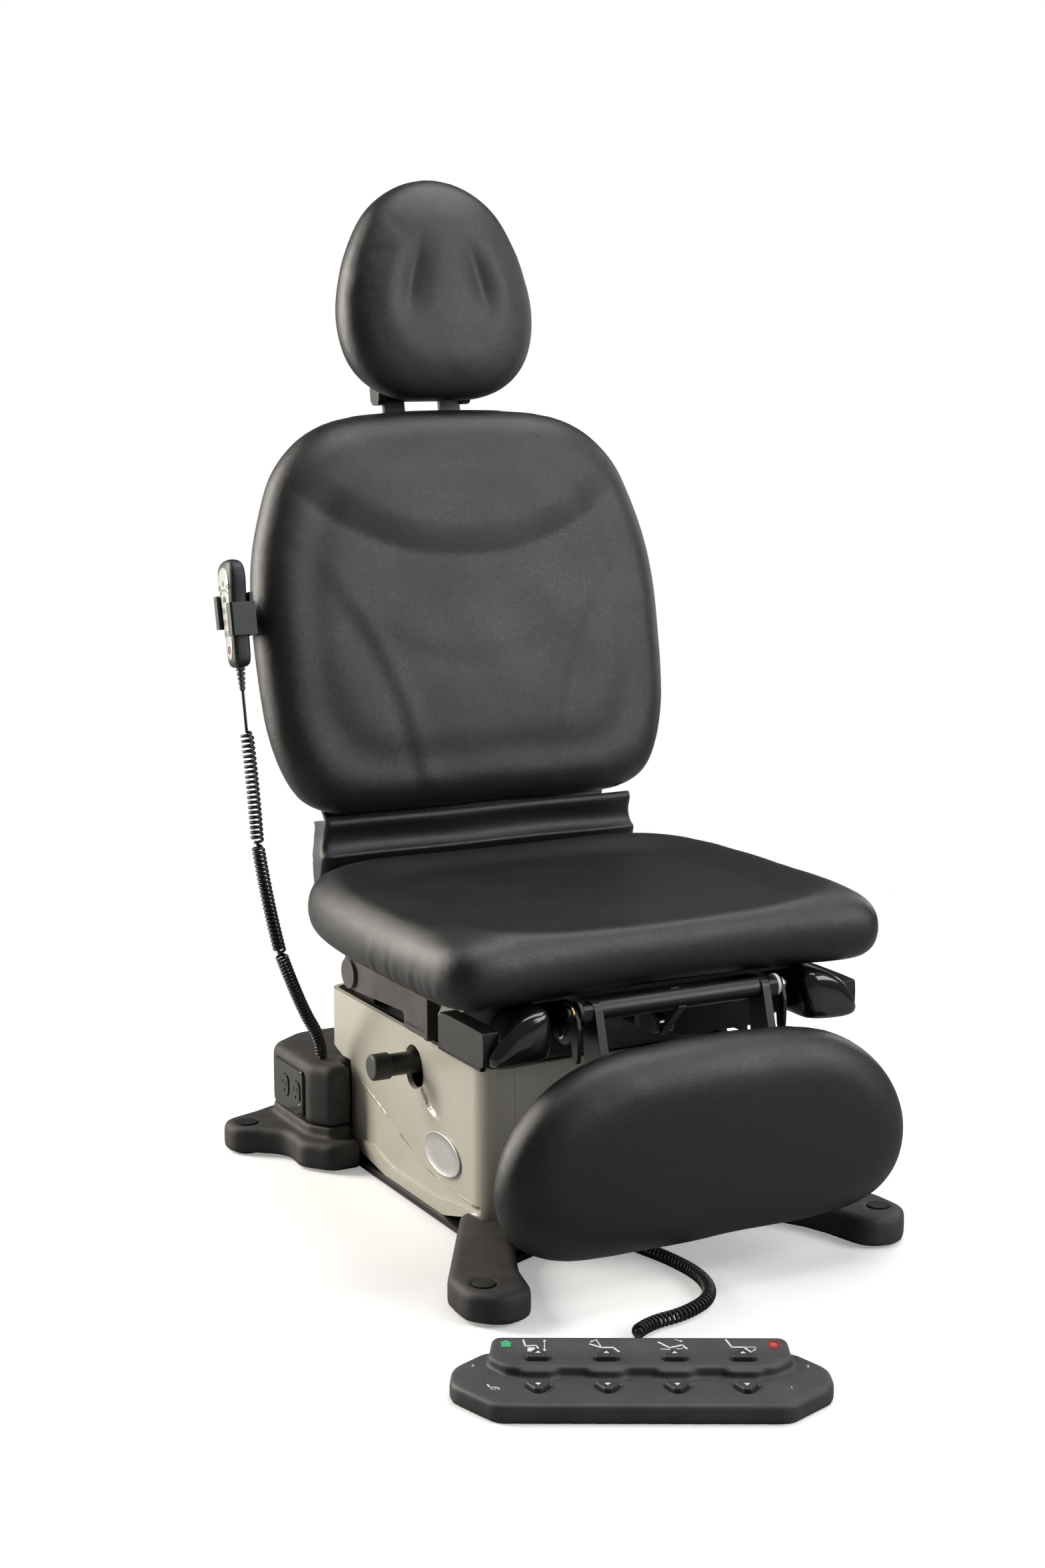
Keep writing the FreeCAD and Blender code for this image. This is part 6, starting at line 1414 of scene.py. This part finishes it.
def screw_tree() -> Tree:
    """Geometry nodes that set a screw head with a round socket on every point of a mesh.

    Returns:
        The tree. Its inputs are the points, the head's sizes, the seed and the finish.
    """
    tree = bpy.data.node_groups.new("screw_heads", "GeometryNodeTree")
    for word, kind in (
        ("Points", "Geometry"), ("Radius", "Float"), ("Height", "Float"), ("Socket", "Float"),
        ("Seed", "Int"), ("Finish", "Material"), ("Heads", "Geometry"),
    ):
        way = "OUTPUT" if word == "Heads" else "INPUT"
        tree.interface.new_socket(word, in_out=way, socket_type="NodeSocket" + kind)
    w = Wiring(tree)
    takes = w.add("NodeGroupInput").outputs
    disc = w.add("GeometryNodeMeshCircle", {"Vertices": 20, "Radius": takes["Radius"]}, fill_type="NGON")
    shape, top = disc.outputs[0], True
    for rise, narrow in ((0.55, 1.0), (0.3, 0.93), (0.15, 0.8), (0.0, None), (-0.6, 0.94)):
        offset = w.math("MULTIPLY", takes["Height"], rise)
        inputs = {"Mesh": shape, "Selection": top, "Offset Scale": offset}
        pulled = w.add("GeometryNodeExtrudeMesh", inputs, mode="FACES")
        share = takes["Socket"] if narrow is None else narrow
        scaled = w.add(
            "GeometryNodeScaleElements",
            {"Geometry": pulled.outputs["Mesh"], "Selection": pulled.outputs["Top"], "Scale": share},
        )
        shape, top = scaled.outputs[0], pulled.outputs["Top"]
    under = w.add("GeometryNodeFlipFaces", {0: disc.outputs[0]})
    joined = w.add("GeometryNodeJoinGeometry")
    for part in (shape, under.outputs[0]):
        tree.links.new(part, joined.inputs[0])
    head = w.add("GeometryNodeMergeByDistance", {"Geometry": joined.outputs[0], "Distance": 1e-6})
    facing = w.add("GeometryNodeInputNamedAttribute", {"Name": "facing"}, data_type="FLOAT_VECTOR")
    stand = w.add("FunctionNodeAlignRotationToVector", {"Vector": facing.outputs[0]}, axis="Z")
    spin = w.add("FunctionNodeRandomValue", {2: 0.0, 3: 6.283, 8: takes["Seed"]}, data_type="FLOAT")
    about = w.add("FunctionNodeAxisAngleToRotation", {"Axis": (0, 0, 1), "Angle": spin.outputs[1]})
    turned = w.add(
        "FunctionNodeRotateRotation", {"Rotation": stand.outputs[0], "Rotate By": about.outputs[0]},
        rotation_space="LOCAL",
    )
    spread = w.add(
        "GeometryNodeInstanceOnPoints",
        {"Points": takes["Points"], "Instance": head.outputs[0], "Rotation": turned.outputs[0]},
    )
    real = w.add("GeometryNodeRealizeInstances", {0: spread.outputs[0]})
    dressed = w.add("GeometryNodeSetMaterial", {"Geometry": real.outputs[0], "Material": takes["Finish"]})
    w.add("NodeGroupOutput", {0: dressed.outputs[0]})
    return tree


@dataclass
class ScrewRow:
    """Screws of one size on one body, each set down on a CAD node along a ray."""

    name: str
    body: str
    rays: list
    radius: float = 4.2
    height: float = 2.4
    socket: float = 0.55
    finish: Finish = BLACK_PAINT
    slot: str = "black_metal"

    def build(self) -> Piece | None:
        """Cast the rays, grow the heads and put them on the body."""
        spots, ways = [], []
        for node, start, way in self.rays:
            hit, spot, normal, _ = frame["nodes"][node].ray_cast(start, way)
            if hit:
                spots.append(spot - normal * 0.0002)
                ways.append(normal)
        if not spots:
            return None
        points = bpy.data.meshes.new(self.name)
        points.from_pydata([tuple(p) for p in spots], [], [])
        facing = points.attributes.new("facing", "FLOAT_VECTOR", "POINT")
        facing.data.foreach_set("vector", [c for way in ways for c in way])
        holder = bpy.data.objects.new(self.name + "_points", points)
        bpy.context.scene.collection.objects.link(holder)
        tree = bpy.data.node_groups.get("screw_heads") or screw_tree()
        grow = holder.modifiers.new("grow", "NODES")
        grow.node_group = tree
        sockets = {i.name: i.identifier for i in tree.interface.items_tree if i.in_out == "INPUT"}
        for word, value in (
            ("Radius", self.radius * MM), ("Height", self.height * MM), ("Socket", self.socket),
            ("Seed", SCREW_SEED), ("Finish", self.finish.material()),
        ):
            grow[sockets[word]] = value
        mesh = plain_mesh(holder)
        bpy.data.objects.remove(holder)
        return set_on(piece_of(self.name, mesh, self.finish, smooth=False), self.body)


def screw_rows() -> list[ScrewRow]:
    """Every row of screws on the chair."""
    down = Vector((0, -1, 0))
    back = [(150, 205), (214, 330), (214, 500), (170, 640), (70, 712)]
    foot = [(215, -30), (150, 70), (150, -80)]
    head = [(62, 60), (70, 170)]
    rear = [(118, 0.225), (118, 0.195)]
    sides = (-1, 1)
    return [
        ScrewRow("back_shell_screws", "back",
                 [("back_shell", BACK.at(i * u, v, -120), BACK_OUT) for u, v in back for i in sides]),
        ScrewRow("foot_shell_screws", "foot",
                 [("foot_shell", LEG.at(i * a, b, -60), LEG.out) for a, b in foot for i in sides]),
        ScrewRow("headrest_plate_screws", "headrest",
                 [("headrest_plate", HEAD.at(i * a, b, -60), HEAD_OUT) for a, b in head for i in sides], 3.6),
        ScrewRow("rear_cover_screws", "base",
                 [("cover_rear", Vector((i * a * MM, 0.6, b)), down) for a, b in rear for i in sides],
                 3.8, finish=GREY_PAINT, slot="grey_metal"),
    ]


@dataclass
class SeatDressing:
    """Closed ends of the corner covers, the plates that carry the foot hinge, and black sheets under the
    seat's front that are painted shade.
    """

    cap: tuple = (
        (198, 392), (222, 393), (246, 386), (268, 371), (283, 349), (290, 331), (284, 321), (258, 319),
        (214, 322), (198, 328),
    )
    domes: tuple = (
        (0.9, -236), (1.0, -239), (1.0, -345), (0.985, -352), (0.95, -358), (0.88, -363), (0.72, -366.5),
        (0.4, -368), (0.15, -368.4),
    )
    side: tuple = (
        (-346, 324), (-342, 320), (-222, 318), (-218, 322), (-218, 364), (-222, 368), (-342, 368),
        (-346, 364),
    )
    plate: tuple = (
        (-367, 388), (-367, 316), (-359, 311), (-351, 318), (-349, 343), (-340, 334), (-326, 330),
        (-311, 333), (-304, 346), (-304, 388),
    )
    # Painted shade: outline of a black sheet under the seat's front, put where there is only shade.
    shade_sheet: tuple = ((50, 346), (50, 296), (90, 282), (210, 282), (214, 292), (214, 346))
    bolts: tuple = ((-348, 378), (-321, 348))
    bush: tuple = ((10.5, 164.6), (10.5, 166.6), (7.6, 167.0), (4.0, 167.0))
    bolt: tuple = ((7.6, 166.9), (7.4, 171.5), (6.2, 172.6), (2.5, 172.6), (2.2, 170.5))
    washer: tuple = ((8.2, 153.2), (15.8, 153.2), (15.8, 157.8), (8.2, 157.8))

    def build(self) -> None:
        """Make both sides."""
        for side, word in SIDES:
            self.end_cap(side, word)
            self.hinge_plate(side, word)
            # Painted shade: a black sheet on each side under the seat's front that darkens the gap where
            # shade falls.
            shade_sheet = [[(side * x * MM, y * MM, z * MM) for x, z in self.shade_sheet] for y in (-219.0, -215.0)]
            solid(f"seat_skirt_{word}", shade_sheet, BLACK, "seat")
            finish = BLACK if side < 0 else NYLON
            washer = self.turning(f"hinge_washer_{word}", self.washer, side, self.bolts[0], finish)
            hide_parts("hinge_washers")

    @staticmethod
    def upright(side: int, outline: Line, across: Sequence[float]) -> list[Line]:
        """Rings of an outline along the chair, at distances across it."""
        return [[(side * x * MM, y * MM, z * MM) for y, z in outline] for x in across]

    def end_cap(self, side: int, word: str) -> Piece:
        """Corner cover with a bulged end and a flat plate on its side."""
        outline = rounded(self.cap)
        a, b = outline.mean(axis=0)
        rings = [
            [(side * (a + (x - a) * k) * MM, y * MM, (b + (z - b) * k) * MM) for x, z in outline]
            for k, y in self.domes
        ]
        piece = piece_of(f"corner_cap_{word}", lofted(f"corner_cap_{word}", rings), GLOSS)
        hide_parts("corner_covers")
        rings = self.upright(side, rounded(self.side, 1), (270.0, 293.0, 294.5))
        solid(f"corner_plate_{word}", rings, BLACK, "seat")
        return set_on(piece, "seat")

    def hinge_plate(self, side: int, word: str) -> None:
        """Plate outside the foot hinge with two bolts and a bush."""
        name = f"hinge_plate_{word}"
        rings = self.upright(side, rounded(self.plate, 2), (159.0, 165.0))
        piece = piece_of(name, lofted(name, rings), BLACK_PAINT, smooth=False)
        bevel = piece.modifiers.new("bevel", "BEVEL")
        bevel.width, bevel.segments, bevel.limit_method = 0.0012, 2, "ANGLE"
        settle(piece)
        set_on(piece, "seat")
        for number, spot in enumerate(self.bolts, 1):
            finish = BRASS if number == 1 and side < 0 else STEEL
            self.turning(f"hinge_bush_{word}_{number}", self.bush, side, spot, finish)
            self.turning(f"hinge_bolt_{word}_{number}", self.bolt, side, spot, BLACK_PAINT)

    @staticmethod
    def turning(name: str, profile: Line, side: int, spot: tuple, finish: Finish) -> Piece:
        """Turned piece about a line across the chair.

        Args:
            name: name of the piece.
            profile: radius and distance from the middle, from its foot outwards.
            side: which side of the chair.
            spot: its place along the chair and its height, in millimetres.
            finish: its finish.

        Returns:
            The piece.
        """
        y, z = spot
        rings = [
            [(side * x * MM, (y + r * math.cos(t)) * MM, (z + r * math.sin(t)) * MM) for t in circle(28)]
            for r, x in profile
        ]
        return solid(name, rings, finish, "seat")


# Studio


@dataclass
class Studio:
    """Camera, floor, world and lamps."""

    eye: tuple = (-1.7268, -3.1265, 1.2616)
    turn: float = 28.195
    dip: float = 10.238
    focal: float = 3750.0
    picture: float = 2352.0
    sensor: float = 36.0
    floor_half: float = 30.0
    fade: tuple = (0.8, 1.7)
    ambient: float = 0.09
    gloss_share: float = 0.07
    lift: float = 0.30

    def build(self) -> None:
        """Set the studio up."""
        scene = bpy.context.scene
        scene.view_settings.view_transform = "Standard"
        self.camera()
        self.floor()
        self.world()
        self.lamps()

    def camera(self) -> None:
        """Camera at the photograph's angle."""
        data = bpy.data.cameras.new("camera")
        data.sensor_width = self.sensor
        data.lens = self.focal / self.picture * self.sensor
        data.clip_end = 100.0
        camera = bpy.data.objects.new("camera", data)
        bpy.context.scene.collection.objects.link(camera)
        a, e = math.radians(self.turn), math.radians(self.dip)
        look = Vector((math.sin(a) * math.cos(e), math.cos(a) * math.cos(e), -math.sin(e)))
        camera.location = self.eye
        camera.rotation_mode = "QUATERNION"
        camera.rotation_quaternion = look.to_track_quat("-Z", "Y")
        bpy.context.scene.camera = camera

    def floor(self) -> None:
        """White floor that keeps the chair's shadow."""
        mesh = bpy.data.meshes.new("floor")
        far = self.floor_half
        mesh.from_pydata([(-far, -far, 0), (far, -far, 0), (far, far, 0), (-far, far, 0)], [], [(0, 1, 2, 3)])
        floor = bpy.data.objects.new("floor", mesh)
        bpy.context.scene.collection.objects.link(floor)
        made = bpy.data.materials.new("studio_floor")
        made.use_nodes = True
        w = Wiring(made.node_tree)
        shader = made.node_tree.nodes["Principled BSDF"]
        place = w.add("ShaderNodeTexCoord").outputs["Object"]
        tint = w.blend(w.noise(place, 3.0, 3.0), (0.88, 0.88, 0.88, 1), (0.91, 0.91, 0.91, 1))
        path, shown = w.shown(self.gloss_share)
        for socket, value in (
            ("Base Color", w.blend(path["Is Camera Ray"], (0.34, 0.34, 0.34, 1), tint)), ("Roughness", 0.55),
            ("Specular IOR Level", 0.15), ("Emission Color", (1, 1, 1, 1)),
            ("Emission Strength", w.math("MULTIPLY", path["Is Camera Ray"], self.lift)),
        ):
            w.put(value, shader.inputs[socket])
        reach = w.add("ShaderNodeVectorMath", {0: place}, operation="LENGTH").outputs["Value"]
        white = w.add("ShaderNodeEmission", {"Strength": 1.0})
        share = w.math("MULTIPLY", w.ramp(reach, *self.fade), shown)
        both = w.add("ShaderNodeMixShader", {0: share, 1: shader.outputs[0], 2: white.outputs[0]})
        w.put(both.outputs[0], made.node_tree.nodes["Material Output"].inputs["Surface"])
        mesh.materials.append(made)

    def world(self) -> None:
        """Soft light from all round, with white behind the chair."""
        world = bpy.context.scene.world or bpy.data.worlds.new("studio")
        bpy.context.scene.world = world
        world.use_nodes = True
        w = Wiring(world.node_tree)
        ground = world.node_tree.nodes["Background"]
        _, shown = w.shown(self.gloss_share)
        strength = w.add("ShaderNodeMix", {0: shown, 2: self.ambient, 3: 1.0})
        w.put((1, 1, 1, 1), ground.inputs["Color"])
        w.put(strength.outputs[0], ground.inputs["Strength"])

    def lamps(self) -> None:
        """Soft boxes above, in front, and at both sides."""
        cold, warm = (0.96, 0.98, 1.0), (1.0, 0.95, 0.87)
        for name, place, target, wide, tall, power, tint in (
            ("box_above", (0.6, -0.2, 3.1), (0, 0, 0.4), 2.2, 2.0, 58.0, cold),
            ("box_front", (1.9, -2.3, 1.9), (0, 0, 0.8), 2.3, 1.6, 62.0, cold),
            ("box_left", (-2.0, 2.0, 1.6), (0, 0, 0.75), 1.1, 2.6, 135.0, warm),
            ("box_right", (2.6, 1.2, 1.3), (0, 0, 0.7), 0.5, 1.8, 10.0, cold),
        ):
            data = bpy.data.lights.new(name, "AREA")
            data.shape, data.size, data.size_y, data.energy = "RECTANGLE", wide, tall, power
            data.color = tint
            lamp = bpy.data.objects.new(name, data)
            bpy.context.scene.collection.objects.link(lamp)
            lamp.location = place
            lamp.rotation_mode = "QUATERNION"
            lamp.rotation_quaternion = (Vector(target) - Vector(place)).to_track_quat("-Z", "Y")


def dress_nodes() -> None:
    """Give every CAD node the finish of its material slot."""
    slots = {part["node"]: part["material_slot"] for part in frame["record"]["subparts"]}
    for name, node in frame["nodes"].items():
        node.data.materials.clear()
        node.data.materials.append(SLOT_FINISH[slots[name]].material())


def main() -> None:
    """Build the chair's dressing in order."""
    logging.basicConfig(level=logging.INFO, format="%(message)s")
    Studio().build()
    for cord in cords():
        cord.build()
    dress_nodes()
    for pad in (SeatPad(), BackPad(), HeadPad(), LegPad()):
        pad.build()
    Flap().build()
    FootControl().build()
    HandControl().build()
    BaseDressing().build()
    SeatDressing().build()
    for row in screw_rows():
        row.build()


if __name__ == "__main__":
    main()
